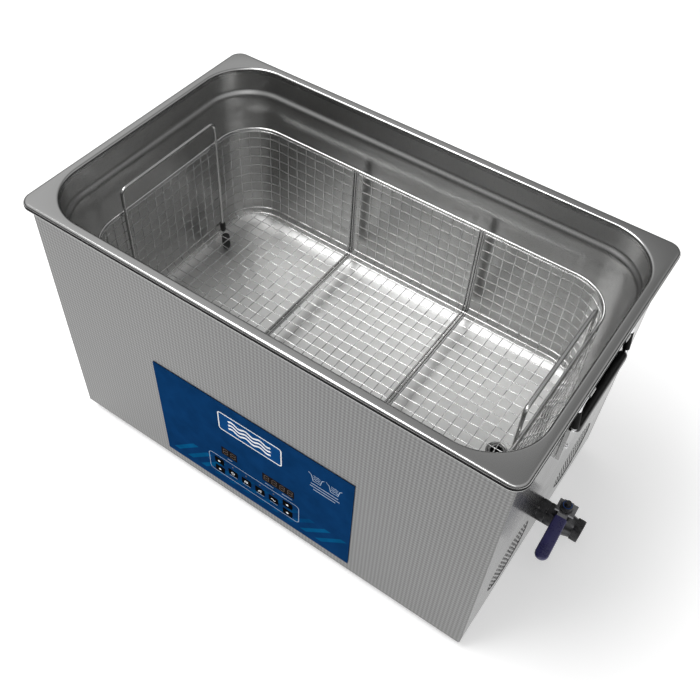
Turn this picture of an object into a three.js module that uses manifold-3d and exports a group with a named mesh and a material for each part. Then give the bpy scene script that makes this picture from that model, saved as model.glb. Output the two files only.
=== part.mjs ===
// Bench ultrasonic cleaner: a deep-drawn stainless tank in a sheet-metal casing, with a lift-out
// wire basket, a drain valve on the right, a fold-down handle on each side and a keypad in front.
// Millimetres, +Z up, +X to the right of a person facing the keypad, -Y towards that person.

import * as THREE from 'three';
import { mergeVertices } from 'three/addons/utils/BufferGeometryUtils.js';
import Module from 'manifold-3d';

const wasm = await Module();
wasm.setup();

// ---------------------------------------------------------------- driving dimensions

const GAP = 0.3; // left between pieces that touch
const SHEET = 1.0; // casing sheet
const FOOT_H = 15;
const RIM_Z = 325.5; // top of the tank's rim, and of the whole machine

const casing = { hx: 257.8, hy: 154.4, z0: FOOT_H, z1: RIM_Z - 1.8, fold: 3.4 };
const rim = { hx: 265, hy: 162.5, r: 14, lip: 6, edge: 3 };
const tank = { t: 1.2, hx: 253.5, hy: 151, r: 55, depth: 205, step: 4.2, taper: 4, floorR: 24 };
const drain = { x: 196, z: RIM_Z - 258, pipeR: 10, boreR: 7.5 };
const valve = { x0: casing.hx + 9.3, stemX: casing.hx + 24.7, x1: casing.hx + 48.5, ballR: 9.8 };
const vent = { y: 74, z: RIM_Z - 248, r: 41.5 };
const basket = { hx: 231.5, hy: 133, r: 47, t: 2, z0: RIM_Z - 185, ringZ: RIM_Z - 60, wireR: 1.7 };
const bail = { x: 226, hy: 71, topZ: RIM_Z - 29.5, r: 2 };
const panel = { x: -2.7, hw: 123.5, z0: RIM_Z - 295.8, z1: RIM_Z - 142.5, t: 0.7 };
const keypad = { w: 12, h: 9.6, rowZ: RIM_Z - 262, rowPitch: 18.2, pairX: 45.8, pairZ: 7.9 };
const grip = {
  hingeX: casing.hx + 4.4, hingeZ: RIM_Z - 12.5, lugR: 3.5, rodR: 2.4,
  x: casing.hx + 7.2, drop: 34, hy: 49, hx: 5,
};

// The valve and the handles stand out unequally, so the model is moved to centre its box on X.
const leftmost = -(grip.x + grip.hx);
const CENTRE_SHIFT = -(leftmost + valve.x1) / 2;

// ---------------------------------------------------------------- materials

const paint = (color, metalness, roughness) =>
  new THREE.MeshStandardMaterial({ color, metalness, roughness });

const slots = {
  stainless: paint(0xb4b4b2, 1, 0.3),
  textured_stainless: paint(0x8f8f8d, 1, 0.45),
  chrome: paint(0xd8d8d8, 1, 0.08),
  dark_nickel: paint(0x3b3c3e, 1, 0.4),
  aluminium: paint(0xa8abae, 1, 0.45),
  blue_film: paint(0x12345f, 0, 0.4),
  black_plastic: paint(0x161616, 0, 0.4),
  black_rubber: paint(0x101010, 0, 0.8),
  blue_vinyl: paint(0x2d2b5c, 0, 0.35),
  smoked_lens: paint(0x3b2f2b, 0, 0.15),
  circuit_board: paint(0x1d5a34, 0, 0.5),
  heater_foil: paint(0xb9651e, 0, 0.6),
};

// ---------------------------------------------------------------- solids

const AXIS = { x: [0, 0, -Math.PI / 2], y: [0, 0, 0], z: [Math.PI / 2, 0, 0] };

function place(geometry, x = 0, y = 0, z = 0) {
  geometry.translate(x, y, z);
  return geometry;
}

// A box from its lowest to its highest corner.
function block(x0, y0, z0, x1, y1, z1) {
  const geometry = new THREE.BoxGeometry(x1 - x0, y1 - y0, z1 - z0);
  return place(geometry, (x0 + x1) / 2, (y0 + y1) / 2, (z0 + z1) / 2);
}

// A rod centred on a point; six sides give a hexagon bar measured across its corners.
function rod(axis, r, length, x, y, z, sides = 24) {
  const geometry = new THREE.CylinderGeometry(r, r, length, sides);
  const [rx, ry, rz] = AXIS[axis];
  geometry.rotateX(rx);
  geometry.rotateY(ry);
  geometry.rotateZ(rz);
  return place(geometry, x, y, z);
}

// A turned solid: pairs of radius and distance along the axis, from the axis back to it.
function turned(axis, profile, x, y, z, sides = 24) {
  const geometry = new THREE.LatheGeometry(profile.map(([r, s]) => new THREE.Vector2(r, s)), sides);
  const [rx, ry, rz] = AXIS[axis];
  geometry.rotateX(rx);
  geometry.rotateY(ry);
  geometry.rotateZ(rz);
  return place(geometry, x, y, z);
}

// The points of a path with round corners: it turns at each inner point with radius `bend`.
function bent(corners, bend, steps = 4) {
  const points = [corners[0]];
  for (let k = 1; k < corners.length - 1; k++) {
    const [before, corner, after] = corners.slice(k - 1, k + 2);
    const start = corner.clone().add(before.clone().sub(corner).setLength(bend));
    const end = corner.clone().add(after.clone().sub(corner).setLength(bend));
    const centre = start.clone().add(end).sub(corner);
    for (let i = 0; i <= steps; i++) {
      const a = (i / steps) * (Math.PI / 2);
      const point = centre.clone();
      point.addScaledVector(start.clone().sub(centre), Math.cos(a));
      point.addScaledVector(end.clone().sub(centre), Math.sin(a));
      points.push(point);
    }
  }
  points.push(corners.at(-1));
  return points;
}

// A round bar along points that lie in one plane, whose normal is `across`.
function bar(points, across, r, sides = 10) {
  return loft(points.map((point, i) => {
    const ahead = points[Math.min(i + 1, points.length - 1)];
    const behind = points[Math.max(i - 1, 0)];
    const along = ahead.clone().sub(behind).normalize();
    const normal = across.clone().cross(along);
    const section = [];
    for (let k = 0; k < sides; k++) {
      const a = (k / sides) * 2 * Math.PI;
      const place = point.clone();
      place.addScaledVector(normal, r * Math.cos(a));
      place.addScaledVector(across, r * Math.sin(a));
      section.push(place.toArray());
    }
    return section;
  }));
}

// A U of round bar: two legs from z0 at x, and a bar across them at z1 and x1.
function stirrup({ x, x1 = x, hy, z0, z1, bend, r, turnIn = 0 }) {
  const at = (y, z) => new THREE.Vector3(z === z0 ? x : x1, y, z);
  const corners = [at(-hy, z0), at(-hy, z1), at(hy, z1), at(hy, z0)];
  if (turnIn > 0) {
    corners.unshift(at(-hy + turnIn, z0));
    corners.push(at(hy - turnIn, z0));
  }
  return bar(bent(corners, bend), new THREE.Vector3(1, 0, 0), r);
}

// The points of a rounded rectangle at height z, anticlockwise from above.
function ring(hx, hy, r, z, steps = 7) {
  const points = [];
  const corners = [[1, 1, 0], [-1, 1, 1], [-1, -1, 2], [1, -1, 3]];
  for (const [sx, sy, quarter] of corners) {
    for (let i = 0; i <= steps; i++) {
      const a = (quarter + i / steps) * (Math.PI / 2);
      points.push([sx * (hx - r) + r * Math.cos(a), sy * (hy - r) + r * Math.sin(a), z]);
    }
  }
  return points;
}

function middle(points) {
  return [0, 1, 2].map((k) => points.reduce((sum, point) => sum + point[k], 0) / points.length);
}

// A skin over a run of rings. It closes at both ends on a centre point, or on itself.
function loft(rings, { endless = false } = {}) {
  const n = rings[0].length;
  const vertices = rings.flat();
  const faces = [];
  const spans = endless ? rings.length : rings.length - 1;
  for (let k = 0; k < spans; k++) {
    const a = k * n;
    const b = ((k + 1) % rings.length) * n;
    for (let i = 0; i < n; i++) {
      const j = (i + 1) % n;
      faces.push([a + i, a + j, b + j], [a + i, b + j, b + i]);
    }
  }
  if (!endless) {
    const last = (rings.length - 1) * n;
    const start = vertices.push(middle(rings[0])) - 1;
    const end = vertices.push(middle(rings.at(-1))) - 1;
    for (let i = 0; i < n; i++) {
      const j = (i + 1) % n;
      faces.push([start, j, i], [end, last + i, last + j]);
    }
  }
  const geometry = new THREE.BufferGeometry();
  geometry.setAttribute('position', new THREE.Float32BufferAttribute(vertices.flat(), 3));
  geometry.setIndex(faces.flat());
  return geometry;
}

// A flat outline, pairs of x and y, raised from z0 to z1.
function plate(outline, z0, z1) {
  const shape = new THREE.Shape(outline.map(([x, y]) => new THREE.Vector2(x, y)));
  const geometry = new THREE.ExtrudeGeometry(shape, { depth: z1 - z0, bevelEnabled: false });
  return place(geometry, 0, 0, z0);
}

function toManifold(geometry) {
  const bare = geometry.clone();
  bare.deleteAttribute('normal');
  bare.deleteAttribute('uv');
  const merged = mergeVertices(bare, 1e-4);
  return new wasm.Manifold(new wasm.Mesh({
    numProp: 3,
    vertProperties: new Float32Array(merged.attributes.position.array),
    triVerts: new Uint32Array(merged.index.array),
  }));
}

function fromManifold(solid) {
  const mesh = solid.getMesh();
  const geometry = new THREE.BufferGeometry();
  geometry.setAttribute('position', new THREE.BufferAttribute(mesh.vertProperties, 3));
  geometry.setIndex(new THREE.BufferAttribute(mesh.triVerts, 1));
  return geometry;
}

// Everything in `add` joined, less everything in `cut`.
function shaped(add, cut = []) {
  let solid = wasm.Manifold.union(add.map(toManifold));
  if (cut.length > 0) {
    solid = solid.subtract(wasm.Manifold.union(cut.map(toManifold)));
  }
  return fromManifold(solid);
}

// ---------------------------------------------------------------- the assembly

const machine = new THREE.Group();
machine.name = 'ultrasonic_cleaner';

function piece(name, slot, geometry) {
  const flat = geometry.index ? geometry.toNonIndexed() : geometry;
  flat.computeVertexNormals();
  const mesh = new THREE.Mesh(flat, slots[slot]);
  mesh.name = name;
  machine.add(mesh);
}

// Tank: one pressing, from the underside of its floor, up outside, over the rim and down inside.
function tankRings() {
  const { t, hx, hy, r, depth, step, taper, floorR } = tank;
  const floorZ = RIM_Z - depth;
  const stepZ = RIM_Z - 24;
  // One level of the drawn wall: inset from the mouth, and height.
  const level = (inset, z, grow) =>
    ring(hx - inset + grow, hy - inset + grow, r - inset + grow, z);
  const wall = [];
  const turns = 5;
  for (let i = 0; i <= turns; i++) {
    const a = (i / turns) * (Math.PI / 2);
    const inset = step + taper + floorR * (1 - Math.sin(a));
    wall.push([inset, floorZ + floorR * (1 - Math.cos(a)), Math.cos(a)]);
  }
  wall.push([step, stepZ - 5, 0]);
  wall.push([step * 0.5, stepZ - 2.5, 0.5]);
  wall.push([0, stepZ, 0]);
  const outside = wall.map(([inset, z, floorPart]) => level(inset, z - t * floorPart, t));
  const inside = wall.map(([inset, z]) => level(inset, z, 0)).reverse();
  const { hx: rx, hy: ry, r: rr, lip, edge } = rim;
  const under = [
    ring(hx + t, hy + t, r + t, RIM_Z - 3.5),
    ring(hx + t + 1.2, hy + t + 1.2, r + t + 1, RIM_Z - t),
    ring(rx - edge, ry - edge, rr - edge, RIM_Z - t),
    ring(rx - t, ry - t, rr - t, RIM_Z - edge),
    ring(rx - t, ry - t, rr - t, RIM_Z - lip),
  ];
  const over = [
    ring(rx, ry, rr, RIM_Z - lip),
    ring(rx, ry, rr, RIM_Z - edge),
    ring(rx - edge * 0.3, ry - edge * 0.3, rr - edge * 0.3, RIM_Z - edge * 0.3),
    ring(rx - edge, ry - edge, rr - edge, RIM_Z),
    ring(hx + 2.4, hy + 2.4, r + 2.2, RIM_Z),
    ring(hx + 0.6, hy + 0.6, r + 0.6, RIM_Z - 0.8),
    ring(hx, hy, r, RIM_Z - 3),
  ];
  return [...outside, ...under, ...over, ...inside];
}

const tankFloor = RIM_Z - tank.depth;
const tankUnder = tankFloor - tank.t;
piece('tank', 'stainless', shaped(
  [loft(tankRings())],
  [rod('z', drain.boreR, 12, drain.x, 0, tankFloor)],
));

piece('rim_seal', 'black_rubber', loft([
  ring(casing.hx + GAP, casing.hy + GAP, 2, RIM_Z - 5.4),
  ring(rim.hx - tank.t - GAP, rim.hy - tank.t - GAP, rim.r - tank.t - GAP, RIM_Z - 5.4),
  ring(rim.hx - tank.t - GAP, rim.hy - tank.t - GAP, rim.r - tank.t - GAP, RIM_Z - 3.6),
  ring(casing.hx + GAP, casing.hy + GAP, 2, RIM_Z - 3.6),
], { endless: true }));

// ---------------------------------------------------------------- keypad positions

const keys = [
  ['key_timer_up', -keypad.pairX, keypad.pairZ],
  ['key_timer_down', -keypad.pairX, -keypad.pairZ],
  ['key_power', -1.5 * keypad.rowPitch, 0],
  ['key_pulse', -0.5 * keypad.rowPitch, 0],
  ['key_degas', 0.5 * keypad.rowPitch, 0],
  ['key_heat', 1.5 * keypad.rowPitch, 0],
  ['key_temp_up', keypad.pairX, keypad.pairZ],
  ['key_temp_down', keypad.pairX, -keypad.pairZ],
].map(([name, dx, dz]) => ({ name, x: panel.x + dx, z: keypad.rowZ + dz }));

const windows = [
  { name: 'display_timer', x: panel.x - 30.5, hw: 10.2 },
  { name: 'display_temp', x: panel.x + 33.8, hw: 20.2 },
].map((w) => ({ ...w, z: RIM_Z - 228.2, hh: 6.8 }));

function keyHoles(y0, y1) {
  const hw = keypad.w / 2 + GAP;
  const hh = keypad.h / 2 + GAP;
  return keys.map((k) => block(k.x - hw, y0, k.z - hh, k.x + hw, y1, k.z + hh));
}

function windowHoles(y0, y1, margin) {
  return windows.map((w) =>
    block(w.x - w.hw - margin, y0, w.z - w.hh - margin, w.x + w.hw + margin, y1, w.z + w.hh + margin));
}

// ---------------------------------------------------------------- casing

// Front and back sheets are folded a little way round each corner; s is -1 for the front.
function foldedSheet(s) {
  const { hx, hy, z0, z1, fold } = casing;
  const c = 1.2;
  const outline = [
    [-hx, hy - fold], [-hx, hy - c], [-hx + c, hy], [hx - c, hy], [hx, hy - c], [hx, hy - fold],
    [hx - SHEET, hy - fold], [hx - SHEET, hy - SHEET], [-hx + SHEET, hy - SHEET],
    [-hx + SHEET, hy - fold],
  ].map(([x, y]) => [x, s * y]);
  return plate(outline, z0, z1);
}

piece('casing_front', 'textured_stainless', shaped(
  [foldedSheet(-1)],
  [...keyHoles(-160, -150), ...windowHoles(-160, -150, GAP)],
));

const inlet = { x: 150, z: 76, hw: 24, hh: 28.5 };
const louvres = [];
for (let i = 0; i < 6; i++) {
  for (const x of [-170, -100]) {
    louvres.push(block(x - 28, 150, 45 + i * 9, x + 28, 160, 48 + i * 9));
  }
}
piece('casing_back', 'textured_stainless', shaped(
  [foldedSheet(1)],
  [
    block(inlet.x - inlet.hw, 150, inlet.z - inlet.hh, inlet.x + inlet.hw, 160, inlet.z + inlet.hh),
    ...louvres,
  ],
));

// A curved slot through a side wall, centred on the vent's own axis.
function arcSlot(r, width, a0, a1, y, z) {
  const shape = new THREE.Shape();
  shape.absarc(0, 0, r + width / 2, a0, a1, false);
  shape.absarc(0, 0, r - width / 2, a1, a0, true);
  const geometry = new THREE.ExtrudeGeometry(shape, { depth: 30, bevelEnabled: false, curveSegments: 3 });
  geometry.rotateX(Math.PI / 2);
  geometry.rotateZ(Math.PI / 2);
  return place(geometry, 0, y, z);
}

function ventSlots(s) {
  const cuts = [];
  for (const y of [-vent.y, vent.y]) {
    for (const r of [13, 24, 35]) {
      for (let i = 0; i < 4; i++) {
        const a0 = (i * Math.PI) / 2 + 3.5 / r;
        const slot = arcSlot(r, 3.8, a0, a0 + Math.PI / 2 - 7 / r, y, vent.z);
        cuts.push(place(slot, s > 0 ? casing.hx - 15 : -casing.hx - 15, 0, 0));
      }
    }
  }
  return cuts;
}

function sidePanel(s) {
  const { hx, hy, z0, z1, fold } = casing;
  const y = hy - fold - GAP;
  const flange = 9;
  const outline = [
    [hx, -y], [hx, y], [hx - flange, y], [hx - flange, y - SHEET], [hx - SHEET, y - SHEET],
    [hx - SHEET, -y + SHEET], [hx - flange, -y + SHEET], [hx - flange, -y],
  ].map(([x, yy]) => [s * x, yy]);
  return plate(outline, z0, z1);
}

piece('casing_left', 'stainless', shaped([sidePanel(-1)], ventSlots(-1)));
piece('casing_right', 'stainless', shaped(
  [sidePanel(1)],
  [...ventSlots(1), rod('x', drain.pipeR + GAP, 40, casing.hx, 0, drain.z)],
));

const BASE_Z = casing.z0 + 1;
const BASE_T = 1.5;
const notch = { x: casing.hx - 9.4, y: casing.hy - casing.fold - GAP - SHEET - GAP };
const baseOutline = [];
for (const [sx, sy] of [[1, 1], [-1, 1], [-1, -1], [1, -1]]) {
  const corner = [
    [casing.hx - SHEET - GAP, notch.y], [notch.x, notch.y], [notch.x, casing.hy - SHEET - GAP],
  ].map(([x, y]) => [sx * x, sy * y]);
  baseOutline.push(...(sx * sy > 0 ? corner : corner.reverse()));
}
const baseSlots = [];
for (let i = -4; i <= 4; i++) {
  for (const y of [-95, 95]) {
    baseSlots.push(block(i * 14 - 2, y - 22, BASE_Z - 5, i * 14 + 2, y + 22, BASE_Z + 5));
  }
}
piece('casing_base', 'stainless', shaped([plate(baseOutline, BASE_Z, BASE_Z + BASE_T)], baseSlots));

for (const [side, x] of [['left', -218], ['right', 218]]) {
  for (const [end, y] of [['front', -122], ['back', 122]]) {
    piece(`foot_${end}_${side}`, 'black_rubber', turned('z', [
      [0, 2.5], [6, 2.5], [6.5, 0], [15, 0], [16.5, 1.5], [18, BASE_Z - GAP - 1], [17, BASE_Z - GAP],
      [0, BASE_Z - GAP],
    ], x, y, 0, 16));
  }
}

// ---------------------------------------------------------------- control panel

const faceY = -casing.hy - GAP; // back of the printed film
const filmY = faceY - panel.t; // its front
piece('control_overlay', 'blue_film', shaped(
  [block(panel.x - panel.hw, filmY, panel.z0, panel.x + panel.hw, faceY, panel.z1)],
  [...keyHoles(-160, -150), ...windowHoles(-160, -150, GAP)],
));

for (const k of keys) {
  const hw = keypad.w / 2;
  const hh = keypad.h / 2;
  const inner = -casing.hy + SHEET + GAP;
  piece(k.name, 'black_plastic', shaped([
    block(k.x - hw, filmY - 0.7, k.z - hh, k.x + hw, inner + 1, k.z + hh),
    block(k.x - hw - 1.3, inner, k.z - hh - 1.2, k.x + hw + 1.3, inner + 1.5, k.z + hh + 1.2),
    block(k.x - 3, inner + 1, k.z - 3, k.x + 3, inner + 6, k.z + 3),
  ]));
}

for (const w of windows) {
  piece(w.name, 'smoked_lens',
    block(w.x - w.hw, filmY, w.z - w.hh, w.x + w.hw, -casing.hy + SHEET, w.z + w.hh));
}

// Control board with its displays, key switches and standoffs, all soldered together.
const boardY = -casing.hy + SHEET + GAP + 10;
piece('control_board', 'circuit_board', shaped([
  block(panel.x - 70, boardY, keypad.rowZ - 22, panel.x + 70, boardY + 1.6, windows[0].z + 12),
  ...windows.map((w) =>
    block(w.x - w.hw, -casing.hy + SHEET + GAP + 0.6, w.z - w.hh, w.x + w.hw, boardY + 1, w.z + w.hh)),
  ...keys.map((k) => block(k.x - 3, boardY - 2.4, k.z - 3, k.x + 3, boardY + 1, k.z + 3)),
  block(panel.x - 60, boardY + 1, keypad.rowZ - 15, panel.x - 30, boardY + 9, keypad.rowZ - 5),
  block(panel.x + 25, boardY + 1, keypad.rowZ + 5, panel.x + 50, boardY + 5, keypad.rowZ + 25),
]));

// ---------------------------------------------------------------- inside, under the tank

for (let i = 0; i < 8; i++) {
  const x = -170 + 100 * (i % 4);
  const y = i < 4 ? -62 : 62;
  const top = tankUnder - GAP;
  piece(`transducer_${i + 1}`, 'aluminium', turned('z', [
    [0, top - 54], [7, top - 54], [7, top - 48], [19, top - 48], [19, top - 28], [17.5, top - 28],
    [17.5, top - 18], [19, top - 18], [28, top - 2], [28, top], [0, top],
  ], x, y, 0, 14));
}

for (const [name, s] of [['heater_front', -1], ['heater_back', 1]]) {
  const y = tank.hy - tank.step + tank.t + 0.8;
  piece(name, 'heater_foil', s > 0
    ? block(-150, y, 150, 150, y + 1.6, 270)
    : block(-150, -y - 1.6, 150, 150, -y, 270));
}

piece('thermostat', 'aluminium', turned('z', [
  [0, tankUnder - 12], [3, tankUnder - 12], [3, tankUnder - 8], [9, tankUnder - 8],
  [9, tankUnder - GAP], [0, tankUnder - GAP],
], -20, 0, 0, 16));

const floorZ = BASE_Z + BASE_T;
const ribs = [];
for (let i = 0; i < 8; i++) {
  ribs.push(block(-150 + i * 8, -50, floorZ + 20, -147.5 + i * 8, 50, floorZ + 42));
}
piece('heat_sink', 'aluminium', shaped(
  [block(-150, -50, floorZ + 16, -91.5, 50, floorZ + 21), ...ribs]));

piece('generator_board', 'circuit_board', shaped([
  block(-160, -60, floorZ + 8, 20, 60, floorZ + 9.6),
  ...[[-155, -55], [15, -55], [-155, 55], [15, 55]].map(([x, y]) =>
    rod('z', 3.5, 8.6, x, y, floorZ + GAP + 4.3, 12)),
  block(-145, -45, floorZ + 9, -97, 45, floorZ + 15.7),
  rod('z', 20, 26, -55, -25, floorZ + 22),
  rod('z', 9, 30, -70, 35, floorZ + 24, 16),
  rod('z', 9, 30, -45, 35, floorZ + 24, 16),
  block(-25, -45, floorZ + 9, 12, -8, floorZ + 32),
  block(-20, 12, floorZ + 9, 8, 50, floorZ + 24),
]));

// Cooling fan behind the rear vent on the right, blowing out.
const fan = { x0: casing.hx - SHEET - 27, x1: casing.hx - SHEET - 2, half: 40, bore: 37.5 };
piece('fan_frame', 'black_plastic', shaped(
  [
    shapedFrame(),
    block(fan.x0, vent.y - 2.5, vent.z - fan.half + 1, fan.x0 + 3, vent.y + 2.5, vent.z + fan.half - 1),
    block(fan.x0, vent.y - fan.half + 1, vent.z - 2.5, fan.x0 + 3, vent.y + fan.half - 1, vent.z + 2.5),
    rod('x', 17, 3, fan.x0 + 1.5, vent.y, vent.z),
    rod('x', 2, 14, fan.x0 + 7, vent.y, vent.z, 12),
  ],
));

function shapedFrame() {
  return shaped(
    [block(fan.x0, vent.y - fan.half, vent.z - fan.half, fan.x1, vent.y + fan.half, vent.z + fan.half)],
    [rod('x', fan.bore, 60, fan.x0, vent.y, vent.z, 32)],
  );
}

const blades = [];
for (let i = 0; i < 7; i++) {
  const blade = new THREE.BoxGeometry(1.6, 14, 21);
  blade.rotateZ(0.7);
  blade.translate(0, 0, 25);
  blade.rotateX((i * 2 * Math.PI) / 7);
  blades.push(place(blade, fan.x0 + 14, vent.y, vent.z));
}
piece('fan_rotor', 'black_plastic', shaped(
  [rod('x', 16, 17, fan.x0 + 12.5, vent.y, vent.z), ...blades],
  [rod('x', 2.08, 13, fan.x0 + 9, vent.y, vent.z, 12)],
));

// Mains module at the back: a socket, a fuse drawer and a rocker switch in one bezel.
const backY = casing.hy + GAP;
const socket = { z: inlet.z + 12, hw: 12.5, hh: 8.5 };
const rocker = { z: inlet.z - 17, hw: 9.5, hh: 6.5, y: backY + 1.2 };
piece('power_inlet', 'black_plastic', shaped(
  [
    block(inlet.x - inlet.hw - 3, backY, inlet.z - inlet.hh - 3, inlet.x + inlet.hw + 3, backY + 2.6,
      inlet.z + inlet.hh + 3),
    block(inlet.x - inlet.hw + GAP, backY - 26, inlet.z - inlet.hh + GAP, inlet.x + inlet.hw - GAP,
      backY + 1, inlet.z + inlet.hh - GAP),
  ],
  [
    block(inlet.x - socket.hw, backY - 16, socket.z - socket.hh, inlet.x + socket.hw, backY + 5,
      socket.z + socket.hh),
    block(inlet.x - rocker.hw - GAP, backY - 9, rocker.z - rocker.hh - GAP, inlet.x + rocker.hw + GAP,
      backY + 5, rocker.z + rocker.hh + GAP),
  ],
));

// The rocker turns about an X axis through its middle; its face is a shallow V.
const rockerShape = [
  [rocker.y - 6, -3], [rocker.y + 3.2, -rocker.hh + 0.6], [rocker.y + 0.4, 0],
  [rocker.y + 1.4, rocker.hh - 0.6], [rocker.y - 6, 3],
];
function acrossX(outline, x0, x1) {
  const geometry = plate(outline, x0, x1);
  geometry.rotateX(Math.PI / 2);
  geometry.rotateZ(Math.PI / 2);
  return geometry;
}
piece('rocker_switch', 'black_plastic',
  place(acrossX(rockerShape, -rocker.hw, rocker.hw), inlet.x, 0, rocker.z));

// ---------------------------------------------------------------- carrying handles

for (const [side, s] of [['left', -1], ['right', 1]]) {
  const at = (x) => s * x;
  const span = (xa, y0, z0, xb, y1, z1) =>
    block(Math.min(at(xa), at(xb)), y0, z0, Math.max(at(xa), at(xb)), y1, z1);
  const wallX = casing.hx + GAP;
  const plateTop = grip.hingeZ + grip.lugR;
  piece(`handle_plate_${side}`, 'stainless', shaped(
    [
      span(wallX, -41, RIM_Z - 110, wallX + 1.2, 41, plateTop),
      span(wallX, -41, RIM_Z - 110, wallX + 3.8, 41, RIM_Z - 64),
      ...[-36, 36].map((y) => rod('y', grip.lugR, 10, at(grip.hingeX), y, grip.hingeZ)),
      ...[-36, 36].map((y) =>
        span(wallX, y - 5, grip.hingeZ - grip.lugR, grip.hingeX, y + 5, plateTop)),
    ],
    [rod('y', grip.rodR + GAP, 100, at(grip.hingeX), 0, grip.hingeZ)],
  ));
  piece(`handle_bail_${side}`, 'chrome', stirrup({
    x: at(grip.hingeX), x1: at(grip.x), hy: 53, z0: grip.hingeZ, z1: grip.hingeZ - grip.drop,
    bend: 6, r: grip.rodR, turnIn: 22,
  }));
  const gripZ = grip.hingeZ - grip.drop;
  piece(`handle_grip_${side}`, 'black_rubber', shaped(
    [gripBody(at(grip.x), gripZ)],
    [rod('y', grip.rodR + GAP, 120, at(grip.x), 0, gripZ, 16)],
  ));
}

// An oval moulded grip along Y, thinner at its ends.
function gripBody(x, z) {
  const section = (y, k) => {
    const points = [];
    for (let i = 0; i < 16; i++) {
      const a = (i / 16) * 2 * Math.PI;
      points.push([grip.hx * k * Math.cos(a), 7 * k * Math.sin(a), y]);
    }
    return points;
  };
  const h = grip.hy - 3;
  const body = loft([
    section(-h, 0.86), section(-h + 2.5, 1), section(h - 2.5, 1), section(h, 0.86),
  ]);
  body.rotateX(-Math.PI / 2);
  return place(body, x, 0, z);
}

// ---------------------------------------------------------------- drain

const axisZ = drain.z;
const elbow = bent([
  new THREE.Vector3(drain.x, 0, tankUnder - GAP),
  new THREE.Vector3(drain.x, 0, axisZ),
  new THREE.Vector3(valve.x0 + 8, 0, axisZ),
], 22);
const sideways = new THREE.Vector3(0, 1, 0);
const borePath = elbow.map((point) => point.clone());
borePath[0].z += 1;
borePath.at(-1).x += 1;
piece('drain_pipe', 'stainless', shaped(
  [bar(elbow, sideways, drain.pipeR, 18)],
  [bar(borePath, sideways, drain.boreR, 18)],
));

const HEX = 1 / Math.cos(Math.PI / 6); // across flats to across corners
piece('drain_nut', 'dark_nickel', shaped(
  [rod('x', 12 * HEX, 8.7, casing.hx + GAP + 4.35, 0, axisZ, 6)],
  [rod('x', drain.pipeR + GAP, 20, casing.hx, 0, axisZ)],
));

// Valve body: hexagon ends, a round middle with the ball's chamber, and the stem's neck.
const neckTop = axisZ + 21;
piece('valve_body', 'dark_nickel', shaped(
  [
    turned('x', [
      [0, valve.x0], [12.6, valve.x0], [13.2, valve.x0 + 2], [11.4, valve.x0 + 5],
      [13.6, valve.x0 + 10], [13.8, valve.x0 + 19], [12.2, valve.x0 + 26], [11.2, valve.x1 - 9],
      [11.2, valve.x1 - 5], [0, valve.x1 - 5],
    ], 0, 0, axisZ, 24),
    rod('x', 12 * HEX, 8.6, valve.x1 - 4.3, 0, axisZ, 6),
    rod('z', 8, 14, valve.stemX, 0, neckTop - 7),
    rod('z', 7 * HEX, 4, valve.stemX, 0, neckTop - 2, 6),
  ],
  [
    rod('x', drain.pipeR + GAP, 9.5, valve.x0 + 4.2, 0, axisZ),
    rod('x', 9.3, 12, valve.x1 - 3, 0, axisZ),
    rod('x', 6.5, 60, valve.stemX, 0, axisZ),
    place(new THREE.SphereGeometry(valve.ballR + GAP, 20, 10), valve.stemX, 0, axisZ),
    rod('z', 4.3, 30, valve.stemX, 0, axisZ + 15),
  ],
));

// The lever shuts the valve when it points to the front; it is drawn a little past that.
const LEVER_TILT = THREE.MathUtils.degToRad(2.5);
const turnLever = (geometry) => {
  geometry.rotateZ(LEVER_TILT);
  return place(geometry, valve.stemX, 0, axisZ);
};

piece('valve_stem', 'dark_nickel', turnLever(shaped(
  [
    new THREE.SphereGeometry(valve.ballR, 20, 10),
    rod('z', 4, 26, 0, 0, 20),
    rod('z', 2.8, 5, 0, 0, 34.6),
  ],
  [rod('y', 6.2, 40, 0, 0, 0)],
)));

const leverZ = 24; // underside of the lever's boss above the pipe's axis
const leverT = 2.4;
const leverSide = [
  [9, leverZ], [9, leverZ + leverT], [-9, leverZ + leverT], [-13.5, leverZ - 1.6 + leverT],
  [-64, leverZ - 1.6 + leverT], [-64, leverZ - 1.6], [-13, leverZ - 1.6], [-8.5, leverZ],
];
piece('valve_lever', 'chrome', turnLever(shaped(
  [
    acrossX(leverSide, -5.2, 5.2),
    block(-9.5, -7, leverZ, 10.6, 8, leverZ + leverT),
    block(8.8, -4, leverZ - 4, 10.6, 5, leverZ + leverT),
  ],
  [rod('z', 4 + GAP, 20, 0, 0, leverZ)],
)));

piece('stem_nut', 'dark_nickel', turnLever(shaped(
  [rod('z', 6 * HEX, 5.6, 0, 0, leverZ + leverT + GAP + 2.8, 6)],
  [rod('z', 4 + GAP, 20, 0, 0, leverZ)],
)));

const sleeveOutline = [];
for (let i = 0; i <= 10; i++) {
  const a = Math.PI + (i / 10) * Math.PI;
  sleeveOutline.push([7.2 * Math.cos(a), -59.5 + 7.2 * Math.sin(a)]);
}
sleeveOutline.push([6.8, -14.5], [-6.8, -14.5]);
const sleeveMid = leverZ - 1.6 + leverT / 2;
piece('lever_sleeve', 'blue_vinyl', turnLever(shaped(
  [plate(sleeveOutline, sleeveMid - 2.9, sleeveMid + 2.9)],
  [block(-5.5, -64.3, sleeveMid - 1.5, 5.5, -10, sleeveMid + 1.5)],
)));

// ---------------------------------------------------------------- basket

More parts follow.
